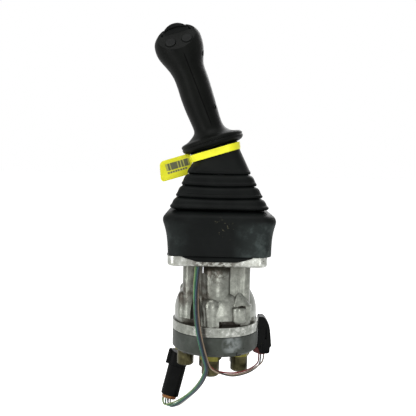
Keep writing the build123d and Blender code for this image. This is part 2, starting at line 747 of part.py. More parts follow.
with BuildPart() as joint_base:
    with Locations((0, 0, PLATE_TOP)):
        Cylinder(BASE_STUD_R - FIT, PLATE_THICK + BASE_STUD_REACH, align=(Align.CENTER, Align.CENTER, Align.MAX))
    with BuildSketch(Plane.XY.offset(PLATE_TOP)):
        RegularPolygon(BASE_HEX_AF / 2, 6, major_radius=False)
    extrude(amount=BASE_HEX_THICK)
    for side in (-1, 1):
        with BuildSketch(Plane.YZ.offset(side * (EAR_INNER + EAR_OUTER) / 2)):
            with Locations((0, PIVOT_Z)):
                Circle(EAR_R)
            with Locations((0, (PIVOT_Z + PLATE_TOP + BASE_HEX_THICK) / 2)):
                Rectangle(2 * EAR_R, PIVOT_Z - PLATE_TOP - BASE_HEX_THICK)
        extrude(amount=(EAR_OUTER - EAR_INNER) / 2, both=True)
    with Locations((0, 0, PIVOT_Z)):
        with Locations(Rotation(0, 90, 0)):
            Cylinder(PIN_X_R + RUN, 40, mode=Mode.SUBTRACT)
write(joint_base.part, "joint_base")

with BuildPart() as joint_block:
    with Locations((0, 0, PIVOT_Z)):
        Box(2 * CROSS_HALF, 2 * CROSS_HALF, 2 * CROSS_HALF - 2)
        with Locations(Rotation(0, 90, 0)):
            Cylinder(PIN_X_R, 40, mode=Mode.SUBTRACT)
        with Locations(Rotation(90, 0, 0)):
            Cylinder(PIN_Y_R, 40, mode=Mode.SUBTRACT)
    chamfer(joint_block.edges().filter_by(Axis.Z), 1.0)
write(joint_block.part, "joint_block")

with BuildPart() as joint_pin_x:
    with Locations((0, 0, PIVOT_Z)):
        with Locations(Rotation(0, 90, 0)):
            Cylinder(PIN_X_R, 2 * EAR_OUTER)
        with Locations(Rotation(90, 0, 0)):
            Cylinder(PIN_Y_R, 40, mode=Mode.SUBTRACT)
write(joint_pin_x.part, "joint_pin_x")

with BuildPart() as joint_pin_y:
    with Locations((0, 0, PIVOT_Z)):
        with Locations(Rotation(90, 0, 0)):
            Cylinder(PIN_Y_R, 2 * EAR_OUTER)
write(joint_pin_y.part, "joint_pin_y")

with BuildPart() as joint_fork:
    for side in (-1, 1):
        with BuildSketch(Plane.XZ.offset(side * (EAR_INNER + EAR_OUTER) / 2)):
            with Locations((0, PIVOT_Z)):
                Circle(EAR_R - 0.5)
            with Locations((0, (PIVOT_Z + HUB_Z) / 2)):
                Rectangle(2 * EAR_R - 1, HUB_RISE)
        extrude(amount=(EAR_OUTER - EAR_INNER) / 2, both=True)
    with Locations((0, 0, HUB_Z)):
        Cylinder(EAR_OUTER, HUB_THICK, align=(Align.CENTER, Align.CENTER, Align.MIN))
        Cylinder(STUD_R - FIT, STUD_TOP - HUB_Z - 1.0, align=(Align.CENTER, Align.CENTER, Align.MIN))
    with Locations((0, 0, PIVOT_Z)):
        with Locations(Rotation(90, 0, 0)):
            Cylinder(PIN_Y_R + RUN, 40, mode=Mode.SUBTRACT)
write(joint_fork.part, "joint_fork")

# ---------------------------------------------------------------- cam disc, nut and lever
with BuildPart() as cam_disc:
    with BuildSketch(Plane.XZ):
        with BuildLine():
            Polyline(
                (STUD_R, DISC_SEAT_Z),
                (DISC_RECESS_R, DISC_SEAT_Z),
                (DISC_RECESS_R, CONTACT_Z),
                (DISC_R, CONTACT_Z),
                (DISC_R, CONTACT_Z + 4.0),
                (DISC_RECESS_R + 3.0, DISC_TOP),
                (STUD_R, DISC_TOP),
                close=True,
            )
        make_face()
    revolve(axis=Axis.Z)
write(cam_disc.part, "cam_disc")

with BuildPart() as lock_nut:
    with BuildSketch(Plane.XY.offset(DISC_TOP)):
        RegularPolygon(NUT_AF / 2, 6, major_radius=False)
        Circle(STUD_R, mode=Mode.SUBTRACT)
    extrude(amount=NUT_THICK)
write(lock_nut.part, "lock_nut")

with BuildPart() as lever_rod:
    with Locations((0, 0, NUT_TOP)):
        Cylinder(
            LEVER_SOCKET_R,
            LEVER_SOCKET_LENGTH,
            align=(Align.CENTER, Align.CENTER, Align.MIN),
        )
    with BuildLine():
        lever_line = FilletPolyline(
            (0, 0, STUD_TOP - 1),
            (0, 0, LEVER_BEND_Z),
            GRIP.from_local_coords((0, 0, LEVER_TOP_S)),
            radius=LEVER_BEND_R,
        )
    with BuildSketch(Plane(origin=lever_line @ 0, z_dir=(0, 0, 1))):
        Circle(LEVER_R)
    sweep(path=lever_line)
    with Locations((0, 0, NUT_TOP)):
        Cylinder(
            STUD_R,
            LEVER_SOCKET_LENGTH - 1,
            align=(Align.CENTER, Align.CENTER, Align.MIN),
            mode=Mode.SUBTRACT,
        )
write(lever_rod.part, "lever_rod")

# ---------------------------------------------------------------- rubber boot
with BuildPart() as boot_base:
    for z, half, corner in BASE_SECTIONS:
        with BuildSketch(Plane.XY.offset(z)):
            with Locations((boot_offset(z), 0)):
                RectangleRounded(2 * half, 2 * half, corner)
    loft(ruled=True)
    for z, half, corner in BASE_SECTIONS:
        if z < BOOT_SPLIT_Z - BOOT_WALL:
            top_inside = z
    for z, half, corner in BASE_SECTIONS:
        if z <= top_inside:
            with BuildSketch(Plane.XY.offset(z)):
                with Locations((boot_offset(z), 0)):
                    RectangleRounded(2 * (half - BOOT_WALL), 2 * (half - BOOT_WALL), corner - BOOT_WALL)
    loft(ruled=True, mode=Mode.SUBTRACT)
    with BuildSketch(Plane.XY.offset(top_inside)):
        with Locations((boot_offset(top_inside), 0)):
            RectangleRounded(2 * BOOT_THROAT, 2 * BOOT_THROAT, 8)
    extrude(amount=10, mode=Mode.SUBTRACT)
write(boot_base.part, "boot_base")

with BuildPart() as boot_bellows:
    for share, half in BELLOWS_SECTIONS:
        z = BOOT_SPLIT_Z + share * BELLOWS_HEIGHT
        with BuildSketch(Plane.XY.offset(z)):
            with Locations((boot_offset(z), 0)):
                RectangleRounded(2 * half, 2 * half, BELLOWS_CORNER)
    loft(ruled=True)
    for share, half in BELLOWS_INSIDE:
        z = BOOT_SPLIT_Z + share * BELLOWS_HEIGHT
        with BuildSketch(Plane.XY.offset(z)):
            with Locations((boot_offset(z), 0)):
                RectangleRounded(2 * half, 2 * half, BELLOWS_CORNER - 2)
    loft(ruled=True, mode=Mode.SUBTRACT)
write(boot_bellows.part, "boot_bellows")

with BuildPart() as boot_neck:
    for plane, half_x, half_y, corner in NECK_SECTIONS:
        with BuildSketch(plane):
            RectangleRounded(2 * half_x, 2 * half_y, corner)
    loft(ruled=True)
    for plane, half_x, half_y, corner in NECK_SECTIONS[:-1]:
        with BuildSketch(plane):
            RectangleRounded(2 * (half_x - BOOT_WALL), 2 * (half_y - BOOT_WALL), corner - BOOT_WALL)
    loft(ruled=True, mode=Mode.SUBTRACT)
    with BuildSketch(GRIP.offset(NECK_TOP_S)):
        Circle(LEVER_R + CLEAR)
    extrude(amount=-12, mode=Mode.SUBTRACT)
write(boot_neck.part, "boot_neck")

# ---------------------------------------------------------------- grip
with BuildPart() as grip_form:
    for s, t, half_t, half_y in GRIP_SECTIONS:
        with BuildSketch(GRIP.offset(s)):
            with Locations((t, 0)):
                Ellipse(half_t, half_y)
    loft()
    fillet(grip_form.edges().sort_by(Axis.Z)[-1], 1.5)

with BuildPart() as grip_shell:
    add(grip_form.part)
    split(bisect_by=FACE.offset(-BEZEL_THICK), keep=Keep.BOTTOM)
    for s, t, half_t, half_y in GRIP_CAVITY:
        with BuildSketch(GRIP.offset(s)):
            with Locations((t, 0)):
                Ellipse(half_t, half_y)
    loft(ruled=True, mode=Mode.SUBTRACT)
    # ribs that clamp the lever
    for s in GRIP_RIBS:
        with BuildSketch(GRIP.offset(s)):
            with Locations((RIB_SHIFT * s, 0)):
                Ellipse(RIB_HALF_T, RIB_HALF_Y)
            Circle(LEVER_R + FIT, mode=Mode.SUBTRACT)
        extrude(amount=RIB_THICK)
    # pillars and holes of the grip screws
    for s, y, surface, far in GRIP_SCREWS:
        with BuildSketch(side_plane(s, y, far)):
            Circle(GRIP_PILLAR_R)
        extrude(amount=surface - far - 1.2)
        with BuildSketch(side_plane(s, y, surface - GRIP_SCREW_LENGTH)):
            Circle(GRIP_SCREW_R + FIT)
        extrude(amount=GRIP_SCREW_LENGTH, mode=Mode.SUBTRACT)
        with BuildSketch(side_plane(s, y, surface - GRIP_HEAD_DEPTH)):
            Circle(GRIP_HEAD_R + FIT)
        extrude(amount=2 * GRIP_HEAD_DEPTH, mode=Mode.SUBTRACT)
    # seats of the button switches
    with BuildSketch(FACE):
        with Locations(*[(t, 0) for t in BUTTON_T]):
            Circle(SWITCH_R + FIT)
    extrude(amount=-(SWITCH_LENGTH + BEZEL_THICK + FIT), mode=Mode.SUBTRACT)
    # pocket of the thumb rocker
    with BuildSketch(ROCKER_PLANE.offset(-ROCKER_DEPTH / 2 - ROCKER_GAP)):
        Circle(ROCKER_R + ROCKER_GAP)
    extrude(amount=ROCKER_DEPTH + 2 * ROCKER_GAP, mode=Mode.SUBTRACT)

with BuildPart() as grip_left:
    add(grip_shell.part)
    split(bisect_by=SEAM, keep=Keep.BOTTOM)
write(grip_left.part, "grip_left")

with BuildPart() as grip_right:
    add(grip_shell.part)
    split(bisect_by=SEAM, keep=Keep.TOP)
write(grip_right.part, "grip_right")

with BuildPart() as grip_bezel:
    add(grip_form.part)
    split(bisect_by=FACE, keep=Keep.BOTTOM)
    split(bisect_by=FACE.offset(-BEZEL_THICK), keep=Keep.TOP)
    with BuildSketch(FACE):
        with Locations(*[(t, 0) for t in BUTTON_T]):
            Circle(BUTTON_R + CLEAR)
    extrude(amount=-BEZEL_THICK, mode=Mode.SUBTRACT)
    with BuildSketch(ROCKER_PLANE.offset(-ROCKER_DEPTH / 2 - ROCKER_GAP)):
        Circle(ROCKER_R + ROCKER_GAP)
    extrude(amount=ROCKER_DEPTH + 2 * ROCKER_GAP, mode=Mode.SUBTRACT)
write(grip_bezel.part, "grip_bezel")

with BuildPart() as grip_base:
    for s, half_t, half_y in GRIP_BASE_SECTIONS:
        with BuildSketch(GRIP.offset(s)):
            with Locations((0.2, 0)):
                Ellipse(half_t, half_y)
    loft(ruled=True)
    with BuildSketch(GRIP.offset(GRIP_BASE_SECTIONS[0][0])):
        Circle(LEVER_R + FIT)
    extrude(amount=12, mode=Mode.SUBTRACT)
write(grip_base.part, "grip_base")

with BuildPart() as grip_screws:
    for s, y, surface, far in GRIP_SCREWS:
        with BuildSketch(side_plane(s, y, surface - GRIP_HEAD_DEPTH)):
            Circle(GRIP_HEAD_R)
        extrude(amount=GRIP_HEAD_THICK)
        with BuildSketch(side_plane(s, y, surface - GRIP_HEAD_DEPTH + GRIP_HEAD_THICK)):
            Rectangle(2 * GRIP_HEAD_R * 0.8, 0.8)
            Rectangle(0.8, 2 * GRIP_HEAD_R * 0.8)
        extrude(amount=-0.8, mode=Mode.SUBTRACT)
        with BuildSketch(side_plane(s, y, surface - GRIP_SCREW_LENGTH + 1)):
            Circle(GRIP_SCREW_R)
        extrude(amount=GRIP_SCREW_LENGTH - 1 - GRIP_HEAD_DEPTH)
write(grip_screws.part, "grip_screws")

# ---------------------------------------------------------------- buttons and thumb rocker
for name, t in zip(["left", "right"], BUTTON_T):
    with BuildPart() as button:
        with BuildSketch(FACE.offset(BUTTON_PROUD)):
            with Locations((t, 0)):
                Circle(BUTTON_R)
        extrude(amount=-BUTTON_PROUD - BUTTON_SKIRT)
        fillet(button.edges().group_by(Axis(FACE.origin, FACE.z_dir))[-1], 0.6)
    write(button.part, f"button_{name}")

    with BuildPart() as button_switch:
        with BuildSketch(FACE.offset(-BEZEL_THICK)):
            with Locations((t, 0)):
                Circle(SWITCH_R)
        extrude(amount=-SWITCH_LENGTH)
        with BuildSketch(FACE.offset(-BEZEL_THICK)):
            with Locations((t, 0)):
                Circle(BUTTON_R + CLEAR)
        extrude(amount=-(BUTTON_SKIRT + BUTTON_TRAVEL + CLEAR - BEZEL_THICK), mode=Mode.SUBTRACT)
    write(button_switch.part, f"button_switch_{name}")

with BuildPart() as thumb_rocker:
    with BuildSketch(ROCKER_PLANE.offset(-ROCKER_DEPTH / 2)):
        Circle(ROCKER_R)
        with Locations((0, ROCKER_CHORD - ROCKER_R)):
            Rectangle(2 * ROCKER_R, 2 * ROCKER_R, mode=Mode.SUBTRACT)
    extrude(amount=ROCKER_DEPTH)
    fillet(thumb_rocker.edges().filter_by(GeomType.CIRCLE), 2.4)
    with BuildSketch(ROCKER_PLANE.offset(-ROCKER_LUG_DEPTH / 2)):
        Circle(ROCKER_LUG_R)
        with Locations((0, ROCKER_CHORD / 2 + 0.5)):
            Rectangle(2 * ROCKER_LUG_R, ROCKER_CHORD + 1)
    extrude(amount=ROCKER_LUG_DEPTH)
    with BuildSketch(ROCKER_PLANE.offset(-ROCKER_DEPTH)):
        Circle(ROCKER_PIN_R + RUN)
    extrude(amount=2 * ROCKER_DEPTH, mode=Mode.SUBTRACT)
write(thumb_rocker.part, "thumb_rocker")

with BuildPart() as rocker_cradle:
    with BuildSketch(GRIP.offset(CRADLE_S)):
        with Locations((CRADLE_T, 0)):
            Ellipse(CRADLE_HALF_T, CRADLE_HALF_Y)
        with Locations((0, -60 + CRADLE_FRONT_Y)):
            Rectangle(120, 120, mode=Mode.SUBTRACT)
    extrude(amount=CRADLE_THICK)
    with BuildSketch(ROCKER_PLANE.offset(-ROCKER_LUG_DEPTH / 2 - CLEAR)):
        with Locations((0, (CRADLE_S + CHEEK_TOP_S) / 2 - ROCKER_S)):
            Rectangle(CHEEK_WIDTH, CHEEK_TOP_S - CRADLE_S)
    extrude(amount=-CHEEK_THICK)
    with BuildSketch(ROCKER_PLANE):
        Circle(ROCKER_PIN_R + FIT)
    extrude(amount=-ROCKER_DEPTH, mode=Mode.SUBTRACT)
write(rocker_cradle.part, "rocker_cradle")

with BuildPart() as rocker_pin:
    with BuildSketch(ROCKER_PLANE.offset(ROCKER_LUG_DEPTH / 2 + 0.5)):
        Circle(ROCKER_PIN_R)
    extrude(amount=-(ROCKER_LUG_DEPTH + 0.5 + CLEAR + CHEEK_THICK))
write(rocker_pin.part, "rocker_pin")

# ---------------------------------------------------------------- identification tag
with BuildPart() as tag_band:
    for s, half_x, half_y in TAG_SECTIONS:
        with BuildSketch(GRIP.offset(s)):
            RectangleRounded(2 * (half_x + TAG_THICK), 2 * (half_y + TAG_THICK), 14)
    loft(ruled=True)
    for s, half_x, half_y in TAG_SECTIONS:
        with BuildSketch(GRIP.offset(s)):
            RectangleRounded(2 * half_x, 2 * half_y, 14 - TAG_THICK)
    loft(ruled=True, mode=Mode.SUBTRACT)
write(tag_band.part, "tag_band")

with BuildPart() as tag_flag:
    with BuildSketch(TAG_PLANE):
        with Locations((-TAG_TAB_LENGTH, -TAG_DROP)):
            RectangleRounded(TAG_LENGTH, TAG_HEIGHT, 3.5, align=(Align.MAX, Align.CENTER))
        Rectangle(TAG_TAB_LENGTH + 3, TAG_TAB_HEIGHT, align=(Align.MAX, Align.CENTER))
    extrude(amount=TAG_THICK)
write(tag_flag.part, "tag_flag")

# ---------------------------------------------------------------- harness
with BuildPart() as harness_grommet:
    with Locations((*GROMMET_XY, 0)):
        Cylinder(GROMMET_R - FIT, FLANGE_THICK + GROMMET_LIP, align=(Align.CENTER, Align.CENTER, Align.MIN))
    with Locations((*GROMMET_XY, FLANGE_THICK)):
        Cylinder(GROMMET_R + 0.8, GROMMET_LIP, align=(Align.CENTER, Align.CENTER, Align.MIN))
        Cylinder(TRUNK_R - 0.4, 60, mode=Mode.SUBTRACT)
write(harness_grommet.part, "harness_grommet")

with BuildPart() as locating_pin:
    with Locations((*LOCATING_PIN_XY, FLANGE_THICK - 1.0)):
        Cylinder(LOCATING_PIN_R, LOCATING_PIN_LENGTH, align=(Align.CENTER, Align.CENTER, Align.MAX))
write(locating_pin.part, "locating_pin")


def bend_radii(points):
    """Radius at each inner point: 0.45 of the shorter run over the tangent of half the turn."""
    radii = []
    for before, here, after in zip(points, points[1:], points[2:]):
        run_in = Vector(*here) - Vector(*before)
        run_out = Vector(*after) - Vector(*here)
        half_turn = math.radians(run_in.get_angle(run_out)) / 2
        radii.append(0.45 * min(run_in.length, run_out.length) / math.tan(half_turn))
    return radii


for name, points, radius in (
    ("harness_trunk", TRUNK_POINTS, TRUNK_R),
    ("harness_left", LEFT_POINTS, LEFT_BRANCH_R),
    ("harness_right", RIGHT_POINTS, RIGHT_BRANCH_R),
):
    radii = bend_radii(points)
    with BuildPart() as cord:
        with BuildLine():
            route = FilletPolyline(*points, radius=radii)
        with BuildSketch(Plane(origin=route @ 0, z_dir=route % 0)):
            Circle(radius)
        sweep(path=route)
    drift = cord.part.volume / (math.pi * radius**2 * route.length) - 1
    print(name, "length", round(route.length, 1), "radii", [round(r, 1) for r in radii], "drift", round(drift, 5))
    write(cord.part, name)

# ---------------------------------------------------------------- connectors
with BuildPart() as left_connector:
    with BuildSketch(LEFT_PLUG):
        RectangleRounded(LEFT_PLUG_WIDTH, LEFT_PLUG_DEPTH, 2.5)
    extrude(amount=LEFT_PLUG_LENGTH)
    chamfer(left_connector.faces().sort_by(Axis.Z)[-1].edges(), 1.0)
    # side grooves and the step between the shell's two halves
    for side in (-1, 1):
        with BuildSketch(LEFT_PLUG.offset(6)):
            with Locations((side * (LEFT_PLUG_WIDTH / 2), 0)):
                Rectangle(1.6, 4.0)
        extrude(amount=24, mode=Mode.SUBTRACT)
    with BuildSketch(LEFT_PLUG.offset(33)):
        RectangleRounded(LEFT_PLUG_WIDTH + 2, LEFT_PLUG_DEPTH + 2, 2.5)
        RectangleRounded(LEFT_PLUG_WIDTH - 0.9, LEFT_PLUG_DEPTH - 0.9, 2.2, mode=Mode.SUBTRACT)
    extrude(amount=1.2, mode=Mode.SUBTRACT)
    with BuildSketch(LEFT_PLUG.offset(LEFT_PLUG_LENGTH)):
        RectangleRounded(LEFT_PLUG_WIDTH - 5, LEFT_PLUG_DEPTH - 5, 1.5)
    extrude(amount=-9, mode=Mode.SUBTRACT)
write(left_connector.part, "left_connector")

with BuildPart() as left_latch:
    with BuildSketch(LEFT_PLUG.offset(32.8)):
        with Locations((-LEFT_PLUG_WIDTH / 2 - 3.0, 0)):
            RectangleRounded(5.6, 8.0, 1.6)
    extrude(amount=15.6)
    fillet(left_latch.faces().sort_by(Axis.Z)[-1].edges(), 1.2)
write(left_latch.part, "left_latch")

with BuildPart() as left_seal:
    with BuildSketch(LEFT_PLUG):
        RectangleRounded(15.0, 12.6, 3)
    extrude(amount=-SEAL_THICK)
write(left_seal.part, "left_seal")

with BuildPart() as right_connector:
    with BuildSketch(Plane.XZ.offset(-RIGHT_PLUG_Y)):
        with BuildLine():
            outline = Polyline(
                (RIGHT_PLUG_X, RIGHT_PLUG_BOTTOM),
                (RIGHT_PLUG_X, RIGHT_PLUG_TOP),
                (RIGHT_PLUG_X + 7.6, RIGHT_PLUG_TOP),
                (RIGHT_PLUG_X + 10.4, RIGHT_PLUG_TOP - 4.5),
                (RIGHT_PLUG_X + 10.4, RIGHT_PLUG_TOP - 22),
                (RIGHT_PLUG_X + 15.2, RIGHT_PLUG_TOP - 24),
                (RIGHT_PLUG_X + 15.2, RIGHT_PLUG_BOTTOM),
                close=True,
            )
        make_face()
    extrude(amount=RIGHT_PLUG_DEPTH / 2, both=True)
    fillet(right_connector.edges().filter_by(Axis.Y), 1.2)
write(right_connector.part, "right_connector")

with BuildPart() as right_latch:
    with BuildSketch(Plane.XZ.offset(-RIGHT_PLUG_Y)):
        with BuildLine():
            Polyline(
                (RIGHT_PLUG_X + 10.9, RIGHT_PLUG_TOP - 21.6),
                (RIGHT_PLUG_X + 10.9, RIGHT_PLUG_TOP - 10.5),
                (RIGHT_PLUG_X + 10.7, RIGHT_PLUG_TOP - 5.0),
                (RIGHT_PLUG_X + 13.9, RIGHT_PLUG_TOP - 11.5),
                (RIGHT_PLUG_X + 15.4, RIGHT_PLUG_TOP - 22.8),
                close=True,
            )
        make_face()
    extrude(amount=RIGHT_PLUG_DEPTH / 2 - 2, both=True)
write(right_latch.part, "right_latch")

with BuildPart() as right_seal:
    with BuildSketch(Plane.XY.offset(RIGHT_PLUG_BOTTOM)):
        with Locations((RIGHT_PLUG_X + 7.6, RIGHT_PLUG_Y)):
            RectangleRounded(13.6, 12.6, 3)
    extrude(amount=-SEAL_THICK)
write(right_seal.part, "right_seal")
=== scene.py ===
import math

import bpy
import bmesh
from mathutils import Matrix, Vector


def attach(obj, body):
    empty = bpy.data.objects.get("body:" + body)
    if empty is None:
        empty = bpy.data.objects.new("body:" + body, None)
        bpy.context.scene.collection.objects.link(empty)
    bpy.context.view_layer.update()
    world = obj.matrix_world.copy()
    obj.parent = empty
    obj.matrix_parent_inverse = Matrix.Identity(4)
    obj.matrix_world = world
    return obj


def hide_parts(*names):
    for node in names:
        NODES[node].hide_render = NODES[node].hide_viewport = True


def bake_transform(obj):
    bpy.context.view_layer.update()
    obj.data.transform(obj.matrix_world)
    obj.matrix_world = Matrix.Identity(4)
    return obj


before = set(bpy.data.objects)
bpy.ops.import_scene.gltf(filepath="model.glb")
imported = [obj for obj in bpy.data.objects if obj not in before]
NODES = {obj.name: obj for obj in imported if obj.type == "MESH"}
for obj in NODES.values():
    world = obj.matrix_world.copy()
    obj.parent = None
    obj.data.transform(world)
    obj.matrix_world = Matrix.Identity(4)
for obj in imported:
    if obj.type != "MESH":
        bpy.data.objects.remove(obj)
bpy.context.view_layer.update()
MM = 0.001
# Shapes are given in millimetres, and MM turns them into metres. The scales of noise are per metre.


# ---------------------------------------------------------------- node material helpers
def new_material(name):
    m = bpy.data.materials.new(name)
    m.use_nodes = True
    nt = m.node_tree
    nt.nodes.clear()
    out = nt.nodes.new("ShaderNodeOutputMaterial")
    p = nt.nodes.new("ShaderNodeBsdfPrincipled")
    nt.links.new(p.outputs[0], out.inputs[0])
    return m, nt, p


def noise(nt, vec, scale, detail=4.0, rough=0.55):
    n = nt.nodes.new("ShaderNodeTexNoise")
    n.inputs["Scale"].default_value = scale
    n.inputs["Detail"].default_value = detail
    n.inputs["Roughness"].default_value = rough
    nt.links.new(vec, n.inputs["Vector"])
    return n.outputs["Fac"]


def ramp(nt, fac, stops):
    r = nt.nodes.new("ShaderNodeValToRGB")
    e = r.color_ramp.elements
    while len(e) < len(stops):
        e.new(0.5)
    for element, (pos, color) in zip(e, stops):
        element.position = pos
        element.color = (*color, 1.0)
    nt.links.new(fac, r.inputs["Fac"])
    return r.outputs["Color"]


def math_node(nt, op, a, b=None, c=None):
    n = nt.nodes.new("ShaderNodeMath")
    n.operation = op
    for socket, value in zip(n.inputs, (a, b, c)):
        if value is None:
            continue
        if isinstance(value, (int, float)):
            socket.default_value = value
        else:
            nt.links.new(value, socket)
    return n.outputs[0]


def times(nt, *factors):
    out = factors[0]
    for f in factors[1:]:
        out = math_node(nt, "MULTIPLY", out, f)
    return out


def most(nt, *values):
    out = values[0]
    for v in values[1:]:
        out = math_node(nt, "MAXIMUM", out, v)
    return out


def mix(nt, fac, a, b):
    n = nt.nodes.new("ShaderNodeMix")
    n.data_type = "RGBA"
    n.clamp_factor = True
    for socket, value in ((n.inputs["Factor"], fac), (n.inputs[6], a), (n.inputs[7], b)):
        if isinstance(value, tuple):
            socket.default_value = (*value, 1.0)
        else:
            nt.links.new(value, socket)
    return n.outputs[2]


def bump(nt, p, height, distance):
    b = nt.nodes.new("ShaderNodeBump")
    b.inputs["Strength"].default_value = 1.0
    b.inputs["Distance"].default_value = distance
    nt.links.new(height, b.inputs["Height"])
    nt.links.new(b.outputs[0], p.inputs["Normal"])


def roughness(nt, p, fac, low, high):
    r = nt.nodes.new("ShaderNodeMapRange")
    r.inputs["To Min"].default_value = low
    r.inputs["To Max"].default_value = high
    nt.links.new(fac, r.inputs["Value"])
    nt.links.new(r.outputs[0], p.inputs["Roughness"])


GRAIN_SCALE = 1500.0


def plain(name, dark, light, scale, rough, metal=0.0, grain=0.0, spec=0.5):
    """Two-tone material with fine grain, for moulded, turned or plated pieces."""
    m, nt, p = new_material(name)
    vec = position(nt)[0]
    nt.links.new(ramp(nt, noise(nt, vec, scale), [(0.35, dark), (0.65, light)]), p.inputs["Base Color"])
    p.inputs["Metallic"].default_value = metal
    p.inputs["Specular IOR Level"].default_value = spec
    roughness(nt, p, noise(nt, vec, scale * 2.3), *rough)
    if grain:
        bump(nt, p, noise(nt, vec, GRAIN_SCALE, 2.0), grain)
    return m


def position(nt):
    """Place on the piece in metres: the vector and its three parts."""
    tc = nt.nodes.new("ShaderNodeTexCoord")
    parts = nt.nodes.new("ShaderNodeSeparateXYZ")
    nt.links.new(tc.outputs["Object"], parts.inputs[0])
    return tc.outputs["Object"], parts.outputs[0], parts.outputs[1], parts.outputs[2]


def step(nt, value, lo, hi):
    """0 below lo and 1 above hi, or the other way round where lo is the higher."""
    r = nt.nodes.new("ShaderNodeMapRange")
    r.interpolation_type = "SMOOTHSTEP"
    low, high = min(lo, hi), max(lo, hi)
    r.inputs["From Min"].default_value = low
    r.inputs["From Max"].default_value = high
    if lo > hi:
        r.inputs["To Min"].default_value = 1.0
        r.inputs["To Max"].default_value = 0.0
    nt.links.new(value, r.inputs["Value"])
    return r.outputs[0]


def between(nt, value, lo, hi, soft):
    """1 from lo to hi and 0 outside, with an edge of softness soft on both sides. All are in millimetres."""
    rise = step(nt, value, (lo - soft) * MM, (lo + soft) * MM)
    fall = step(nt, value, (hi + soft) * MM, (hi - soft) * MM)
    return times(nt, rise, fall)


def spot(nt, vec, centre, inner, outer):
    """1 near a point, given in millimetres, and 0 further off."""
    n = nt.nodes.new("ShaderNodeVectorMath")
    n.operation = "DISTANCE"
    nt.links.new(vec, n.inputs[0])
    n.inputs[1].default_value = [c * MM for c in centre]
    return step(nt, n.outputs["Value"], outer * MM, inner * MM)


def along(nt, vec, origin, direction):
    """How far a place lies from a point, in metres, along one direction."""
    d = nt.nodes.new("ShaderNodeVectorMath")
    d.operation = "DOT_PRODUCT"
    nt.links.new(vec, d.inputs[0])
    d.inputs[1].default_value = tuple(direction)
    return math_node(nt, "SUBTRACT", d.outputs["Value"], Vector(origin).dot(Vector(direction)) * MM)


def open_sky(nt, distance):
    """1 in the open and 0 deep in a recess."""
    n = nt.nodes.new("ShaderNodeAmbientOcclusion")
    n.samples = 6
    n.inputs["Distance"].default_value = distance
    return n.outputs["AO"]


def set_material(material, *names):
    for name in names:
        data = NODES[name].data
        data.materials.clear()
        data.materials.append(material)


# ---------------------------------------------------------------- the grip's frame
# T runs to the right across the leaning grip and S runs up along it
LEAN = math.radians(17.5)
GRIP_O = Vector((-7.0, 0.0, 118.0))
GRIP_T = Vector((math.cos(LEAN), 0.0, math.sin(LEAN)))
GRIP_S = Vector((-math.sin(LEAN), 0.0, math.cos(LEAN)))


def grip_point(t, y, s):
    return GRIP_O + GRIP_T * t + Vector((0, y, 0)) + GRIP_S * s


# ---------------------------------------------------------------- materials
SEAM_LEAN = math.radians(5.1)
SEAM_NORMAL = GRIP_T * math.cos(SEAM_LEAN) + GRIP_S * math.sin(SEAM_LEAN)
SEAM_POINT = GRIP_O + GRIP_T * 5.27
SEAM_HALF, SEAM_SOFT = 0.45, 0.2
SEAM_LOW, SEAM_HIGH, SEAM_FADE = 16.0, 90.5, 3.0


def grip_material():
    """Black plastic with the fine dark line where the two halves meet."""
    m, nt, p = new_material("grip_plastic")
    vec = position(nt)[0]
    worn = ramp(nt, noise(nt, vec, 55), [(0.35, (0.0022, 0.0026, 0.0022)), (0.7, (0.0048, 0.0054, 0.0046))])
    line = times(nt, between(nt, along(nt, vec, SEAM_POINT, SEAM_NORMAL), -SEAM_HALF, SEAM_HALF, SEAM_SOFT),
                 between(nt, along(nt, vec, GRIP_O, GRIP_S), SEAM_LOW, SEAM_HIGH, SEAM_FADE))
    nt.links.new(mix(nt, line, worn, (0.0008, 0.0008, 0.0008)), p.inputs["Base Color"])
    p.inputs["Specular IOR Level"].default_value = 0.055
    gloss = nt.nodes.new("ShaderNodeMapRange")
    gloss.inputs["To Min"].default_value = 0.36
    gloss.inputs["To Max"].default_value = 0.50
    nt.links.new(noise(nt, vec, 120), gloss.inputs["Value"])
    nt.links.new(most(nt, gloss.outputs[0], line), p.inputs["Roughness"])
    bump(nt, p, noise(nt, vec, GRAIN_SCALE, 2.0), 0.00005)
    return m


SCUFFS = (4.0, -52.0, 37.0)


def skirt_material():
    """Black rubber with grey dust on its lower faces and a few small scuffs in front."""
    m, nt, p = new_material("boot_dusty")
    vec, x, y, z = position(nt)
    clean = ramp(nt, noise(nt, vec, 45), [(0.35, (0.0034, 0.0042, 0.0040)), (0.7, (0.0064, 0.0076, 0.0072))])
    cloud = step(nt, noise(nt, vec, 52, 6.0, 0.65), 0.42, 0.66)
    low = step(nt, z, 0.045, 0.038)
    right = times(nt, step(nt, x, 0.012, 0.036), low)
    left = times(nt, step(nt, x, -0.024, -0.040), low, 0.45)
    back = times(nt, step(nt, y, -0.038, -0.030), low, 0.4)
    dust = times(nt, most(nt, right, left, back), math_node(nt, "MULTIPLY_ADD", cloud, 0.75, 0.25))
    base = mix(nt, dust, clean, (0.062, 0.077, 0.074))
    chips = step(nt, noise(nt, vec, 330, 3.0, 0.7), 0.62, 0.70)
    chips = times(nt, chips, spot(nt, vec, SCUFFS, 5.0, 15.0))
    nt.links.new(mix(nt, chips, base, (0.085, 0.080, 0.050)), p.inputs["Base Color"])
    p.inputs["Specular IOR Level"].default_value = 0.065
    roughness(nt, p, noise(nt, vec, 110), 0.42, 0.62)
    bump(nt, p, noise(nt, vec, 1200, 3.0), 0.00006)
    return m


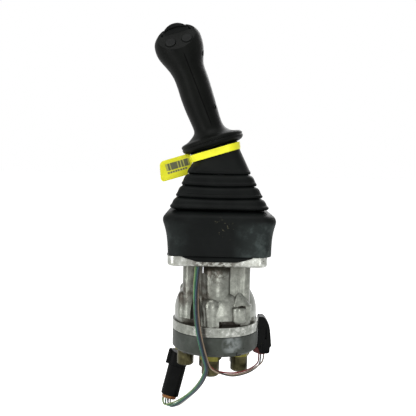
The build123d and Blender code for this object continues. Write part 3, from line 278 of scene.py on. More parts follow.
BODY_TONES = [(0.30, (0.120, 0.127, 0.110)), (0.52, (0.190, 0.198, 0.174)), (0.72, (0.31, 0.32, 0.285))]
RING_LIT_TONES = [(0.30, (0.13, 0.135, 0.118)), (0.52, (0.25, 0.26, 0.235)), (0.70, (0.60, 0.61, 0.57))]
PLATE_TONES = [(0.30, (0.24, 0.24, 0.21)), (0.52, (0.34, 0.35, 0.32)), (0.70, (0.68, 0.69, 0.66))]
# middles of darker patches: brown about the left boss, painted shade in the gully between lobes, dirt specks
# by the flange's front edge; then the dark brown of oil stains and painted shade
LEFT_BOSS, GULLY, FLANGE_EDGE = (-32.0, -24.0, -30.0), (-17.0, -33.0, -26.0), (-3.0, -48.0, 3.0)
OIL_AND_SHADE = (0.030, 0.022, 0.012)


def cast_material():
    """Cast and machined aluminium: bright on the flange, with painted light on the ring, and painted shade and
    oil stains in its recesses.
    """
    m, nt, p = new_material("cast_aluminium")
    vec, x, y, z = position(nt)
    blotch = noise(nt, vec, 190, 6.0, 0.68)
    body = ramp(nt, blotch, BODY_TONES)
    # painted light: the ring takes the brighter tones on its right and middle and the body's darker tones on
    # its left
    rim = mix(nt, step(nt, x, -0.006, -0.030), ramp(nt, blotch, RING_LIT_TONES), body)
    base = mix(nt, step(nt, z, -0.0575, -0.0605), body, rim)
    base = mix(nt, step(nt, z, -0.0012, -0.0002), base, ramp(nt, blotch, PLATE_TONES))
    grime_and_shade = noise(nt, vec, 170, 5.0, 0.65)
    specks = noise(nt, vec, 260, 5.0, 0.7)
    sky = open_sky(nt, 0.022)
    # painted shade: the base turns darker grey in recesses
    base = mix(nt, times(nt, step(nt, sky, 0.97, 0.55), 0.6), base, (0.060, 0.060, 0.050))
    # stains and painted shade: dark brown in recesses (painted shade with oil), darker patches about the left
    # boss, painted shade in the gully, dirt specks by the flange's front edge, and pits
    stain_and_shade = most(nt, times(nt, step(nt, sky, 0.72, 0.25), step(nt, grime_and_shade, 0.22, 0.48)),
                 times(nt, spot(nt, vec, LEFT_BOSS, 6.0, 17.0), step(nt, grime_and_shade, 0.38, 0.58)),
                 times(nt, spot(nt, vec, GULLY, 6.0, 20.0), step(nt, grime_and_shade, 0.34, 0.60)),
                 times(nt, spot(nt, vec, FLANGE_EDGE, 10.0, 34.0), step(nt, specks, 0.42, 0.54)))
    pits = step(nt, noise(nt, vec, 420, 2.0, 0.5), 0.70, 0.74)
    stain_and_shade = most(nt, times(nt, stain_and_shade, 0.92), times(nt, pits, 0.8))
    nt.links.new(mix(nt, stain_and_shade, base, OIL_AND_SHADE), p.inputs["Base Color"])
    nt.links.new(math_node(nt, "SUBTRACT", 0.9, times(nt, stain_and_shade, 0.6)), p.inputs["Metallic"])
    roughness(nt, p, blotch, 0.20, 0.42)
    bump(nt, p, noise(nt, vec, 320, 4.0, 0.6), 0.00011)
    return m


LOWER_TONES = [(0.30, (0.028, 0.032, 0.026)), (0.55, (0.046, 0.052, 0.045)), (0.75, (0.080, 0.088, 0.078))]
LIGHT_PATCH = (17.0, -40.0, -76.0)


def lower_material():
    """Dull grey casting with pits and one lighter patch."""
    m, nt, p = new_material("grey_aluminium")
    vec = position(nt)[0]
    blotch = noise(nt, vec, 60, 6.0, 0.6)
    patch = times(nt, spot(nt, vec, LIGHT_PATCH, 4.0, 13.0), step(nt, noise(nt, vec, 130, 5.0), 0.35, 0.6))
    base = mix(nt, patch, ramp(nt, blotch, LOWER_TONES), (0.20, 0.22, 0.215))
    pits = step(nt, noise(nt, vec, 300, 2.0, 0.5), 0.70, 0.74)
    nt.links.new(mix(nt, pits, base, (0.012, 0.011, 0.009)), p.inputs["Base Color"])
    p.inputs["Metallic"].default_value = 0.6
    p.inputs["Specular IOR Level"].default_value = 0.2
    roughness(nt, p, blotch, 0.42, 0.62)
    bump(nt, p, noise(nt, vec, 420, 5.0, 0.6), 0.00018)
    return m


GOLD_TONES = [(0.30, (0.060, 0.055, 0.010)), (0.6, (0.13, 0.120, 0.026)), (0.8, (0.32, 0.30, 0.10))]
OLIVE_TONES = [(0.30, (0.018, 0.016, 0.007)), (0.6, (0.055, 0.050, 0.022)), (0.8, (0.15, 0.135, 0.065))]


def fitting_material():
    """Yellow passivated steel: gold hexagons over darker olive barrels."""
    m, nt, p = new_material("zinc_plate")
    vec, x, y, z = position(nt)
    blotch = noise(nt, vec, 150, 5.0, 0.6)
    hexagon = step(nt, z, -0.0958, -0.0952)
    base = mix(nt, hexagon, ramp(nt, blotch, OLIVE_TONES), ramp(nt, blotch, GOLD_TONES))
    nt.links.new(base, p.inputs["Base Color"])
    p.inputs["Metallic"].default_value = 0.9
    roughness(nt, p, blotch, 0.25, 0.48)
    bump(nt, p, noise(nt, vec, 500, 4.0), 0.00008)
    return m


# places on the flag along T and S
FLAG_BARS_T, FLAG_BARS_S = (-52.2, -27.6), (-14.6, -7.4)
FLAG_DOTS_T, FLAG_DOTS_S = (-52.2, -31.0), (-17.6, -15.7)
FLAG_EDGE = 0.1
BAR_PITCH, DOT_PITCH = 0.0010, 0.0013


def flag_material():
    """Yellow tag with a plain block of grey bars and a row of grey dots on its front."""
    m, nt, p = new_material("tag_flag_yellow")
    vec = position(nt)[0]
    t = along(nt, vec, GRIP_O, GRIP_T)
    s = along(nt, vec, GRIP_O, GRIP_S)
    yellow = ramp(nt, noise(nt, vec, 60), [(0.35, (0.62, 0.61, 0.010)), (0.65, (0.74, 0.73, 0.02))])
    chance = nt.nodes.new("ShaderNodeTexWhiteNoise")
    chance.noise_dimensions = "1D"
    nt.links.new(math_node(nt, "FLOOR", math_node(nt, "DIVIDE", t, BAR_PITCH)), chance.inputs["W"])
    bar = step(nt, chance.outputs["Value"], 0.30, 0.35)
    dot = step(nt, math_node(nt, "PINGPONG", t, DOT_PITCH), 0.00055, 0.00075)
    facing = nt.nodes.new("ShaderNodeTexCoord")
    split = nt.nodes.new("ShaderNodeSeparateXYZ")
    nt.links.new(facing.outputs["Normal"], split.inputs[0])
    front = step(nt, split.outputs[1], -0.3, -0.6)
    block = times(nt, between(nt, t, *FLAG_BARS_T, FLAG_EDGE), between(nt, s, *FLAG_BARS_S, FLAG_EDGE), front)
    row = times(nt, between(nt, t, *FLAG_DOTS_T, FLAG_EDGE), between(nt, s, *FLAG_DOTS_S, FLAG_EDGE), front)
    base = mix(nt, most(nt, block, row), yellow, (0.36, 0.36, 0.07))
    ink = most(nt, times(nt, block, bar), times(nt, row, dot))
    nt.links.new(mix(nt, ink, base, (0.085, 0.09, 0.04)), p.inputs["Base Color"])
    p.inputs["Specular IOR Level"].default_value = 0.35
    roughness(nt, p, noise(nt, vec, 90), 0.32, 0.44)
    return m


MAT_GRIP = grip_material()
MAT_BUTTON = plain("button_plastic", (0.0026, 0.003, 0.0028), (0.0056, 0.0062, 0.0058), 80, (0.36, 0.48),
                   grain=0.00003, spec=0.07)
MAT_BOOT = plain("boot_rubber", (0.0025, 0.0031, 0.0029), (0.0052, 0.0062, 0.0058), 45, (0.42, 0.58),
                 grain=0.00005, spec=0.06)
MAT_SKIRT = skirt_material()
MAT_PLUG = plain("plug_plastic", (0.0015, 0.0018, 0.0016), (0.004, 0.0044, 0.0042), 90, (0.24, 0.40),
                 grain=0.00003, spec=0.06)
MAT_STEEL = plain("steel", (0.32, 0.33, 0.34), (0.55, 0.56, 0.57), 70, (0.25, 0.45), metal=1.0)
MAT_DARK_STEEL = plain("black_steel", (0.012, 0.012, 0.013), (0.04, 0.04, 0.04), 90, (0.35, 0.55),
                       metal=0.7, spec=0.2)
MAT_ZINC = fitting_material()
MAT_TAG = plain("tag_yellow", (0.90, 0.88, 0.006), (0.96, 0.95, 0.02), 60, (0.3, 0.4), spec=0.4)
MAT_FLAG = flag_material()
MAT_CAST = cast_material()
MAT_LOWER = lower_material()
MAT_RED = plain("seal_red", (0.060, 0.006, 0.006), (0.13, 0.014, 0.012), 160, (0.45, 0.6), spec=0.3)
MAT_ORANGE = plain("seal_orange", (0.10, 0.028, 0.014), (0.30, 0.13, 0.030), 170, (0.40, 0.55), spec=0.3)
MAT_GASKET = plain("gasket", (0.012, 0.012, 0.012), (0.03, 0.03, 0.03), 120, (0.6, 0.8), spec=0.2)

SIDES = ("right", "left", "rear", "front")
set_material(MAT_GRIP, "grip_left", "grip_right", "grip_bezel", "grip_base", "rocker_cradle")
set_material(MAT_BUTTON, "button_left", "button_right", "thumb_rocker", "button_switch_left",
             "button_switch_right")
set_material(MAT_STEEL, "joint_base", "joint_block", "joint_pin_x", "joint_pin_y", "joint_fork", "cam_disc",
             "lever_rod", "retainer_plate", "rocker_pin", "rod_plugs", "locating_pin",
             *[f"{kind}_{side}" for kind in ("push_rod", "spool") for side in SIDES])
set_material(MAT_DARK_STEEL, "housing_screws", "lock_nut", "grip_screws")
set_material(MAT_ZINC, "port_fittings")
set_material(MAT_GASKET, "housing_gasket", "rod_wipers", "plug_rings", "face_seals", "harness_grommet")
set_material(MAT_TAG, "tag_band")
set_material(MAT_CAST, "upper_housing")
set_material(MAT_LOWER, "lower_housing")

# ---------------------------------------------------------------- rubber boot
SIDE_STEPS = 14
ARC_STEPS = 9


def rounded_square(hx, hy, r):
    """Points of a rounded rectangle, anticlockwise, starting at the right side's rear end."""
    pts = []
    corners = ((1, 1), (-1, 1), (-1, -1), (1, -1))
    for k, (sx, sy) in enumerate(corners):
        start, end = math.radians(90 * k), math.radians(90 * (k + 1))
        for i in range(ARC_STEPS + 1):
            a = start + (end - start) * i / ARC_STEPS
            pts.append((sx * (hx - r) + r * math.cos(a), sy * (hy - r) + r * math.sin(a)))
        ax, ay = pts[-1]
        nx, ny = corners[(k + 1) % 4]
        bx, by = nx * (hx - r) + r * math.cos(end), ny * (hy - r) + r * math.sin(end)
        for i in range(1, SIDE_STEPS):
            f = i / SIDE_STEPS
            pts.append((ax + (bx - ax) * f, ay + (by - ay) * f))
    return pts


NECK_Z, FOOT_Z, NECK_SHIFT = 88.0, 10.0, 2.0


def boot_shift(z):
    """The skirt's foot lies a little to the right of the neck."""
    return NECK_SHIFT * (NECK_Z - z) / (NECK_Z - FOOT_Z)


def level_ring(z, half, corner, sag=0.0, pillow=0.0):
    """Ring of the boot on a level plane. The middle of each side sags and bulges a little."""
    ring = []
    for x, y in rounded_square(half, half, corner):
        u = min(abs(x), abs(y)) / half
        mid = max(0.0, 1 - u * u)
        k = 1 + pillow * mid / half
        ring.append(Vector((x * k + boot_shift(z), y * k, z - sag * mid)))
    return ring


def grip_ring(s, half_x, half_y, corner):
    return [grip_point(x, y, s) for x, y in rounded_square(half_x, half_y, corner)]


def blend_rings(a, b, f):
    return [p + (q - p) * f for p, q in zip(a, b)]


def shrink(ring, wall):
    """The ring moved inwards by the wall's thickness, towards its own middle."""
    middle = sum(ring, Vector()) / len(ring)
    out = []
    for p in ring:
        d = p - middle
        d.z = 0
        out.append(p - d.normalized() * wall)
    return out


def mesh_object(name, verts, faces, material):
    """Mesh of points given in millimetres, with its faces turned outwards."""
    me = bpy.data.meshes.new(name)
    me.from_pydata([v * MM for v in verts], [], faces)
    bm = bmesh.new()
    bm.from_mesh(me)
    bmesh.ops.recalc_face_normals(bm, faces=bm.faces)
    bm.to_mesh(me)
    bm.free()
    me.materials.append(material)
    ob = bpy.data.objects.new(name, me)
    bpy.context.collection.objects.link(ob)
    return ob


def loft_faces(rings, n, closed=False):
    """Quads between rings of n points each. A closed loft also joins the last ring to the first."""
    faces = []
    for j in range(rings if closed else rings - 1):
        k = (j + 1) % rings
        for i in range(n):
            h = (i + 1) % n
            faces.append((j * n + i, j * n + h, k * n + h, k * n + i))
    return faces


def smooth_quads(ob):
    for f in ob.data.polygons:
        f.use_smooth = len(f.vertices) == 4


def shell(name, rings, wall, material, body=None):
    """Closed thin-walled body lofted through rings, with an inner skin one wall inside."""
    loop = rings + [shrink(r, wall) for r in rings][::-1]
    n = len(rings[0])
    ob = mesh_object(name, [v for ring in loop for v in ring], loft_faces(len(loop), n, True), material)
    smooth_quads(ob)
    if body:
        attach(ob, body)
    return ob


EASE = 0.28


def eased(profile, sharp=()):
    """Profile with its corners rounded by one cutting pass, but for the points named as sharp."""
    out = [profile[0]]
    for i in range(1, len(profile) - 1):
        a, b, c = profile[i - 1], profile[i], profile[i + 1]
        if i in sharp:
            out.append(b)
            continue
        out.append(tuple(q + (p - q) * EASE for p, q in zip(a, b)))
        out.append(tuple(q + (p - q) * EASE for p, q in zip(c, b)))
    out.append(profile[-1])
    return out


# each row is height, half width, corner radius and sag
SKIRT = [
    (10.2, 46.6, 10.0, 0.0), (10.0, 48.6, 11.5, 0.0), (10.3, 49.3, 12.0, 0.0), (11.6, 49.5, 12.0, 0.0),
    (16.0, 49.6, 12.0, 0.0), (24.0, 50.0, 12.0, 0.0), (31.0, 50.8, 12.2, 0.0), (36.5, 52.0, 12.6, 0.0),
    (39.5, 52.9, 13.0, 0.0), (42.0, 53.6, 13.4, 0.0), (44.2, 53.8, 13.8, 0.0), (46.2, 53.4, 14.0, 0.0),
    (48.0, 52.4, 14.0, 0.0), (49.4, 50.8, 14.0, 0.0), (50.6, 48.4, 13.4, 0.0), (51.5, 45.6, 12.4, 0.0),
    (52.1, 43.0, 11.4, 0.0), (52.6, 40.4, 10.6, 0.0), (52.9, 37.6, 10.0, 0.0),
]
BELLOWS_LOW = [
    (53.1, 37.2, 10.0, 0.0), (53.2, 39.6, 10.2, 0.0), (53.5, 42.4, 10.4, 0.1), (54.1, 44.8, 10.6, 0.2),
    (54.9, 46.3, 10.8, 0.3), (55.9, 47.0, 11.0, 0.3), (57.0, 46.9, 11.0, 0.3), (57.9, 46.1, 11.0, 0.4),
    (58.8, 45.2, 10.8, 0.5), (61.4, 44.3, 10.6, 0.8), (63.2, 43.3, 10.4, 1.1), (64.3, 42.0, 10.2, 1.2),
    (64.9, 40.4, 10.0, 1.3), (65.1, 38.4, 9.6, 1.3), (65.4, 38.4, 9.6, 1.3), (65.5, 39.8, 9.8, 1.3),
    (66.1, 40.9, 10.0, 1.3), (67.0, 41.5, 10.0, 1.3), (68.2, 41.3, 10.0, 1.2), (69.2, 40.5, 10.0, 1.2),
]
BELLOWS_HIGH = [
    (69.2, 40.5, 10.0, 1.2), (70.2, 39.9, 9.9, 1.2), (72.6, 39.0, 9.7, 1.3), (74.4, 38.1, 9.5, 1.4),
    (75.6, 36.8, 9.3, 1.4), (76.2, 35.2, 9.0, 1.4), (76.4, 33.4, 8.6, 1.4), (76.7, 33.4, 8.6, 1.4),
    (76.8, 34.7, 8.8, 1.4), (77.4, 35.7, 9.0, 1.4), (78.3, 36.2, 9.0, 1.3), (79.4, 35.9, 9.0, 1.2),
    (80.4, 35.0, 9.0, 1.1), (82.6, 34.2, 8.8, 1.0), (84.8, 33.1, 8.6, 0.8), (86.2, 31.9, 8.6, 0.7),
    (87.0, 30.4, 8.8, 0.5), (87.3, 28.6, 9.0, 0.5),
]
COLLAR = [
    (87.5, 28.4, 9.0, 0.5), (87.6, 29.6, 9.6, 0.5), (88.1, 30.5, 10.2, 0.4), (89.0, 30.9, 10.6, 0.3),
    (90.2, 30.7, 10.8, 0.2), (91.2, 30.1, 11.0, 0.1), (92.4, 29.4, 11.0, 0.0),
]


BELLOWS_PILLOW = 0.5
BELLOWS_WALL, BOOT_WALL = 2.0, 2.4


def level_rings(profile, pillow=0.0, sharp=()):
    return [level_ring(z, half, corner, sag, pillow) for z, half, corner, sag in eased(profile, sharp)]


skirt = shell("boot_skirt", level_rings(SKIRT), BOOT_WALL, MAT_SKIRT, "housing")
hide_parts("boot_base")

low = shell("bellows_lower", level_rings(BELLOWS_LOW, BELLOWS_PILLOW, (13, 14)), BELLOWS_WALL, MAT_BOOT)
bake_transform(low)
high = shell("bellows_upper", level_rings(BELLOWS_HIGH, BELLOWS_PILLOW, (6, 7)), BELLOWS_WALL, MAT_BOOT)
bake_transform(high)
for tier in (low, high):
    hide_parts("boot_bellows")

# the collar goes from level rings to rings square to the grip, under the tag's band
BAND_RING = grip_ring(-13.6, 24.1, 22.9, 13.5)
TOP_RING = level_ring(92.4, 29.4, 11.0)
collar_rings = level_rings(COLLAR) + [blend_rings(TOP_RING, BAND_RING, f) for f in (0.2, 0.4, 0.6, 0.8)]
collar_rings += [BAND_RING, grip_ring(-9.5, 24.0, 22.7, 13.5), grip_ring(-5.4, 23.9, 22.5, 13.5),
                 grip_ring(-5.0, 23.4, 22.0, 13.2)]
collar = shell("boot_collar", collar_rings, BOOT_WALL, MAT_BOOT, "lever")
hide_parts("boot_neck")

# ---------------------------------------------------------------- tag flag
FLAG_THICK = 0.7
FLAG_CORNER = 4.2
FLAG_LEFT = [(-3.2, -56.8), (-23.6, -61.2)]
FLAG_RIGHT = [(-3.2, -24.6), (-13.6, -24.9), (-17.7, -28.9), (-21.4, -31.7), (-23.6, -32.6)]
FLAG_ROWS = 28
FLAG_COLUMNS = 16
FLAG_Y, FLAG_CURL = 3.4, 1.6


def piecewise(points, value):
    """Straight runs through the points, from the highest value down."""
    for (a, fa), (b, fb) in zip(points, points[1:]):
        if value >= b:
            return fa + (fb - fa) * (a - value) / (a - b)
    return points[-1][1]


def flag_object():
    """Plate with rounded corners on its left, curling away from the front towards them."""
    top, bottom = FLAG_LEFT[0][0], FLAG_LEFT[-1][0]
    front, back = [], []
    for j in range(FLAG_ROWS + 1):
        s = top + (bottom - top) * (0.5 - 0.5 * math.cos(math.pi * j / FLAG_ROWS))
        short = max(0.0, FLAG_CORNER - min(top - s, s - bottom))
        inset = FLAG_CORNER - math.sqrt(max(0.0, FLAG_CORNER ** 2 - short ** 2))
        left = piecewise(FLAG_LEFT, s) + inset
        right = piecewise(FLAG_RIGHT, s)
        for i in range(FLAG_COLUMNS + 1):
            f = i / FLAG_COLUMNS
            t = left + (right - left) * f
            y = FLAG_Y + FLAG_CURL * (1 - f) ** 2
            front.append(grip_point(t, y - FLAG_THICK, s))
            back.append(grip_point(t, y, s))
    n = len(front)
    w = FLAG_COLUMNS + 1
    faces = []
    for j in range(FLAG_ROWS):
        for i in range(FLAG_COLUMNS):
            a = j * w + i
            faces.append((a, a + 1, a + w + 1, a + w))
            faces.append((n + a, n + a + w, n + a + w + 1, n + a + 1))
    rim = list(range(w)) + [j * w + w - 1 for j in range(1, FLAG_ROWS + 1)]
    rim += [FLAG_ROWS * w + i for i in range(w - 2, -1, -1)]
    rim += [j * w for j in range(FLAG_ROWS - 1, 0, -1)]
    for a, b in zip(rim, rim[1:] + rim[:1]):
        faces.append((a, b, n + b, n + a))
    return mesh_object("tag_label", front + back, faces, MAT_FLAG)


def soft_edges(ob, width, angle=30):
    m = ob.modifiers.new("edges", "BEVEL")
    m.width = width * MM
    m.segments = 2
    m.limit_method = "ANGLE"
    m.angle_limit = math.radians(angle)


flag = flag_object()
soft_edges(flag, 0.2)
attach(flag, "lever")
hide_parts("tag_flag")

# ---------------------------------------------------------------- thumb rocker hood
def solid_strip(name, rings, material, body, slot, *nodes):
    """Closed solid lofted through rings of equal count, flat at both ends, in place of the nodes."""
    n = len(rings[0])
    last = (len(rings) - 1) * n
    faces = [tuple(range(n)), tuple(range(last, last + n))] + loft_faces(len(rings), n)
    ob = mesh_object(name, [v for ring in rings for v in ring], faces, material)
    smooth_quads(ob)
    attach(ob, body)
    if nodes:
        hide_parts(*nodes)
    return ob


def spread(reach, steps):
    """Even places from -reach to reach."""
    return [reach * (2 * i / steps - 1) for i in range(steps + 1)]


HOOD_R = 15.3
HOOD_REACH = math.radians(52)
HOOD_STEPS = 30
HOOD_WIDTH, HOOD_PROUD = 4.4, 2.2
ROCKER_T, ROCKER_S, ROCKER_FRONT = -4.6, 107.2, -7.5


def hood_ring(turn):
    """Section of the rocker's raised crescent lip, thinning towards its two ends."""
    fade = max(0.08, math.cos(math.pi / 2 * turn / HOOD_REACH)) ** 0.6
    width, proud = HOOD_WIDTH * fade + 0.4, HOOD_PROUD * fade
    section = [(0.1, 1.0), (0.0, -0.1), (0.3, -0.55 * proud), (0.9, -0.92 * proud), (1.6, -proud),
               (width * 0.75, -0.8 * proud), (width, -0.15 * proud), (width, 1.0)]
    ring = []
    for inwards, y in section:
        r = HOOD_R - inwards
        ring.append(grip_point(ROCKER_T + r * math.sin(turn), ROCKER_FRONT + y, ROCKER_S + r * math.cos(turn)))
    return ring


solid_strip("rocker_hood", [hood_ring(turn) for turn in spread(HOOD_REACH, HOOD_STEPS)], MAT_BUTTON, "rocker",
            "button_plastic")

# ---------------------------------------------------------------- casting web, lobe and boss
# each row is x, the front's y and the lower edge's z, all under the bosses right of the middle one
WEB = [
    (4.0, -36.2, -58.9), (5.5, -36.8, -57.0), (7.5, -37.0, -55.2), (10.0, -37.0, -54.1),
    (12.5, -37.0, -53.9), (15.5, -37.0, -54.6), (17.5, -36.9, -55.8), (19.5, -37.1, -56.7),
    (21.5, -36.9, -57.0), (23.5, -35.9, -56.9), (25.0, -34.1, -56.6), (25.5, -32.8, -56.4),
]
WEB_TOP = -53.45
WEB_THICK = 3.0
WEB_CHAMFER = 0.5


def web_ring(x, y, z):
    back = y + WEB_THICK
    section = [(y, WEB_TOP), (y, z + WEB_CHAMFER), (y + WEB_CHAMFER, z), (back, z), (back, WEB_TOP)]
    return [Vector((x, *place)) for place in section]


solid_strip("casting_web", [web_ring(*row) for row in WEB], MAT_CAST, "housing", "cast_aluminium")

LOBE_STEPS = 26
LOBE_BACK = -29.9


def lobe_ring(z, centre, half, peak, edge, draw=0.0):
    """Section of a lobe that swells from y edge at its sides to y peak in the middle."""
    half, peak = half - draw, peak + draw
    rise = edge - peak
    radius = (half * half + rise * rise) / (2 * rise)
    ring = []
    for dx in spread(half, LOBE_STEPS):
        ring.append(Vector((centre + dx, peak + radius - math.sqrt(radius * radius - dx * dx), z)))
    return ring + [Vector((centre + half, LOBE_BACK, z)), Vector((centre - half, LOBE_BACK, z))]


LOBE = (-0.8, 14.4, -38.4, -30.4)
LOBE_LEVELS = (0.3, -10.0, -20.0, -30.0, -39.0)
BOSS = (21.8, 7.8, -41.0, -32.5)
# each level is z and how far the boss draws in there
BOSS_LEVELS = [(-40.2, 2.0), (-40.5, 1.2), (-41.1, 0.5), (-42.0, 0.1), (-43.0, 0.0), (-53.0, 0.0),
               (-54.2, 0.3), (-55.0, 1.0), (-55.4, 2.0)]
solid_strip("casting_lobe", [lobe_ring(z, *LOBE) for z in LOBE_LEVELS], MAT_CAST, "housing", "cast_aluminium")
solid_strip("casting_boss", [lobe_ring(z, *BOSS, draw) for z, draw in BOSS_LEVELS], MAT_CAST, "housing",
            "cast_aluminium")

# ---------------------------------------------------------------- lips under the boot
LIP_HALF = 33.0
LIP_STEPS = 24
LIP_TOP = 9.95
LIP_DROP, LIP_END_DROP = 5.2, 0.8
LIP_TAPER = 15.0
LIP_CHAMFER = 0.35
LIP_BACK, LIP_FRONT = 47.55, 48.45


def lip_ring(x, quarter):
    share = min(1.0, (LIP_HALF - abs(x)) / LIP_TAPER) ** 0.8
    low = LIP_TOP - (LIP_END_DROP + (LIP_DROP - LIP_END_DROP) * share)
    section = [(LIP_BACK, LIP_TOP), (LIP_FRONT, LIP_TOP), (LIP_FRONT, low + LIP_CHAMFER),
               (LIP_FRONT - LIP_CHAMFER, low), (LIP_BACK, low)]
    turn = Matrix.Rotation(math.radians(90 * quarter), 3, "Z")
    return [turn @ Vector((x, -y, z)) for y, z in section]


for quarter in range(4):
    solid_strip("boot_lip_%d" % quarter, [lip_ring(x, quarter) for x in spread(LIP_HALF, LIP_STEPS)], MAT_BOOT,
                "housing", "boot_rubber", "boot_lips")

# ---------------------------------------------------------------- left plug
# U and W run across and up along the hanging plug
PLUG_TILT = math.radians(13.5)
PLUG_O = Vector((-46.6, 28.1, -150.2))
PLUG_U = Vector((math.cos(PLUG_TILT), 0.0, -math.sin(PLUG_TILT)))
PLUG_W = Vector((math.sin(PLUG_TILT), 0.0, math.cos(PLUG_TILT)))


def plug_point(u, v, w):
    return PLUG_O + PLUG_U * u + Vector((0.0, v, 0.0)) + PLUG_W * w


def flat_faces(ob):
    for f in ob.data.polygons:
        f.use_smooth = False


def plug_stack(name, outline, levels, material, slot, node, middle=(0.0, 0.0)):
    """The outline stacked along the plug. Each level is its height and its scale about the middle."""
    mu, mv = middle
    rings = [[plug_point(mu + (u - mu) * k, mv + (v - mv) * k, w) for u, v in outline] for w, k in levels]
    return solid_strip(name, rings, material, "housing", slot, node)


def rounded_outline(half_u, half_v, r, steps=5):
    pts = []
    for k, (su, sv) in enumerate(((1, 1), (-1, 1), (-1, -1), (1, -1))):
        for i in range(steps + 1):
            a = math.radians(90 * k + 90 * i / steps)
            pts.append((su * (half_u - r) + r * math.cos(a), sv * (half_v - r) + r * math.sin(a)))
    return pts


LEFT_SHELL = [
    (-9.3, 7.0), (-9.3, -4.2), (-8.6, -5.6), (-6.2, -7.8), (-5.4, -8.0), (5.2, -8.0), (5.5, -7.1),
    (6.2, -7.1), (6.5, -8.0), (7.7, -8.0), (8.1, -7.6), (8.1, -6.3), (8.8, -6.1), (9.3, -5.6),
    (9.3, 7.0), (8.3, 8.0), (-8.3, 8.0),
]
LEFT_SHELL_LEVELS = [(0.0, 0.93), (0.8, 1.0), (32.6, 1.0), (32.9, 0.955), (33.9, 0.955), (34.2, 1.0),
                     (46.4, 1.0), (47.5, 0.92)]
LEFT_LATCH = [(-9.35, 3.4), (-12.2, 3.4), (-12.9, 2.6), (-12.9, -2.8), (-12.2, -3.8), (-9.35, -4.1)]
LEFT_LATCH_LEVELS = [(32.6, 0.9), (33.2, 1.0), (46.0, 1.0), (47.6, 0.86), (48.3, 0.6)]
LEFT_SEAL_LEVELS = [(0.6, 1.0), (-0.6, 1.0), (-1.2, 0.94), (-1.9, 1.0), (-2.7, 1.0), (-3.3, 0.94),
                    (-3.9, 0.84), (-4.1, 0.6)]
flat_faces(plug_stack("left_plug_shell", LEFT_SHELL, LEFT_SHELL_LEVELS, MAT_PLUG, "plug_plastic",
                      "left_connector"))
latch = plug_stack("left_plug_latch", LEFT_LATCH, LEFT_LATCH_LEVELS, MAT_PLUG, "plug_plastic", "left_latch",
                   (-9.4, 0.0))
flat_faces(latch)
soft_edges(latch, 0.3, 35)
plug_stack("left_plug_seal", rounded_outline(7.7, 6.4, 3.0), LEFT_SEAL_LEVELS, MAT_ORANGE, "seal_orange",
           "left_seal")


# ---------------------------------------------------------------- right plug
def through_y(name, outline, levels, material, slot, *nodes):
    """An x, z outline stacked along y. Each level is its y and how far it draws in."""
    cx = sum(x for x, z in outline) / len(outline)
    cz = sum(z for x, z in outline) / len(outline)
    rings = []
    for y, inset in levels:
        outwards = [Vector((x - cx, 0.0, z - cz)).normalized() for x, z in outline]
        rings.append([Vector((x, y, z)) - d * inset for (x, z), d in zip(outline, outwards)])
    ob = solid_strip(name, rings, material, "housing", slot, *nodes)
    flat_faces(ob)
    return ob


def carved(ob, boxes):
    """Cut boxes, each given by two corners, out of a piece for good."""
    bm = bmesh.new()
    for lo, hi in boxes:
        for v in bmesh.ops.create_cube(bm, size=1.0)["verts"]:
            v.co = Vector([(lo[k] + (hi[k] - lo[k]) * (v.co[k] + 0.5)) * MM for k in range(3)])
    data = bpy.data.meshes.new("cutter")
    bm.to_mesh(data)
    bm.free()
    cutter = bpy.data.objects.new("cutter", data)
    bpy.context.collection.objects.link(cutter)
    cut = ob.modifiers.new("cut", "BOOLEAN")
    cut.operation = "DIFFERENCE"
    cut.solver = "EXACT"
    cut.object = cutter
    bpy.context.view_layer.update()
    depsgraph = bpy.context.evaluated_depsgraph_get()
    fresh = bpy.data.meshes.new_from_object(ob.evaluated_get(depsgraph))
    ob.modifiers.remove(cut)
    old = ob.data
    ob.data = fresh
    bpy.data.meshes.remove(old)
    bpy.data.objects.remove(cutter)
    bpy.data.meshes.remove(data)


RIGHT_SHELL = [
    (44.2, -87.0), (44.4, -62.0), (44.8, -60.2), (46.0, -59.6), (50.0, -59.6), (51.8, -60.9),
    (54.4, -64.4), (56.4, -68.6), (57.4, -73.6), (58.1, -80.0), (58.9, -88.6), (59.2, -90.2),
    (58.0, -91.4), (57.6, -92.2), (57.4, -96.4), (56.6, -97.8), (54.6, -98.4), (48.0, -98.2),
    (46.6, -96.6), (45.6, -93.0), (44.0, -91.0),
]
RIGHT_SEAL = [
    (44.0, -91.4), (42.0, -92.2), (40.4, -94.6), (40.0, -96.0), (41.0, -97.4), (44.0, -98.6),
    (47.4, -99.6), (51.6, -99.6), (53.6, -98.6), (52.0, -94.0), (46.0, -91.6),
]
PLUG_FRONT, PLUG_BACK = 7.0, 23.0
RIGHT_SHELL_LEVELS = [(PLUG_FRONT, 1.1), (PLUG_FRONT + 0.4, 0.4), (PLUG_FRONT + 1.2, 0.0),
                      (PLUG_BACK - 1.2, 0.0), (PLUG_BACK - 0.4, 0.4), (PLUG_BACK, 1.1)]
RIGHT_SEAL_LEVELS = [(8.6, 1.2), (9.2, 0.3), (10.2, 0.0), (19.8, 0.0), (20.8, 0.3), (21.4, 1.2)]
# each slot in the right plug's front is its x range, its z range and its depth
RIGHT_SLOTS = [
    ((51.9, 53.7), (-82.8, -71.4), 3.2), ((46.2, 48.4), (-91.6, -88.6), 1.2),
    ((52.4, 55.0), (-96.8, -92.8), 1.6), ((49.6, 50.8), (-97.0, -86.4), 1.0),
    ((44.0, 51.0), (-70.4, -69.2), 0.5),
]
carved(through_y("right_plug_shell", RIGHT_SHELL, RIGHT_SHELL_LEVELS, MAT_PLUG, "plug_plastic",
                 "right_connector", "right_latch"),
       [((x[0], PLUG_FRONT - 1, z[0]), (x[1], PLUG_FRONT + deep, z[1])) for x, z, deep in RIGHT_SLOTS])
through_y("right_plug_seal", RIGHT_SEAL, RIGHT_SEAL_LEVELS, MAT_RED, "seal_red", "right_seal")

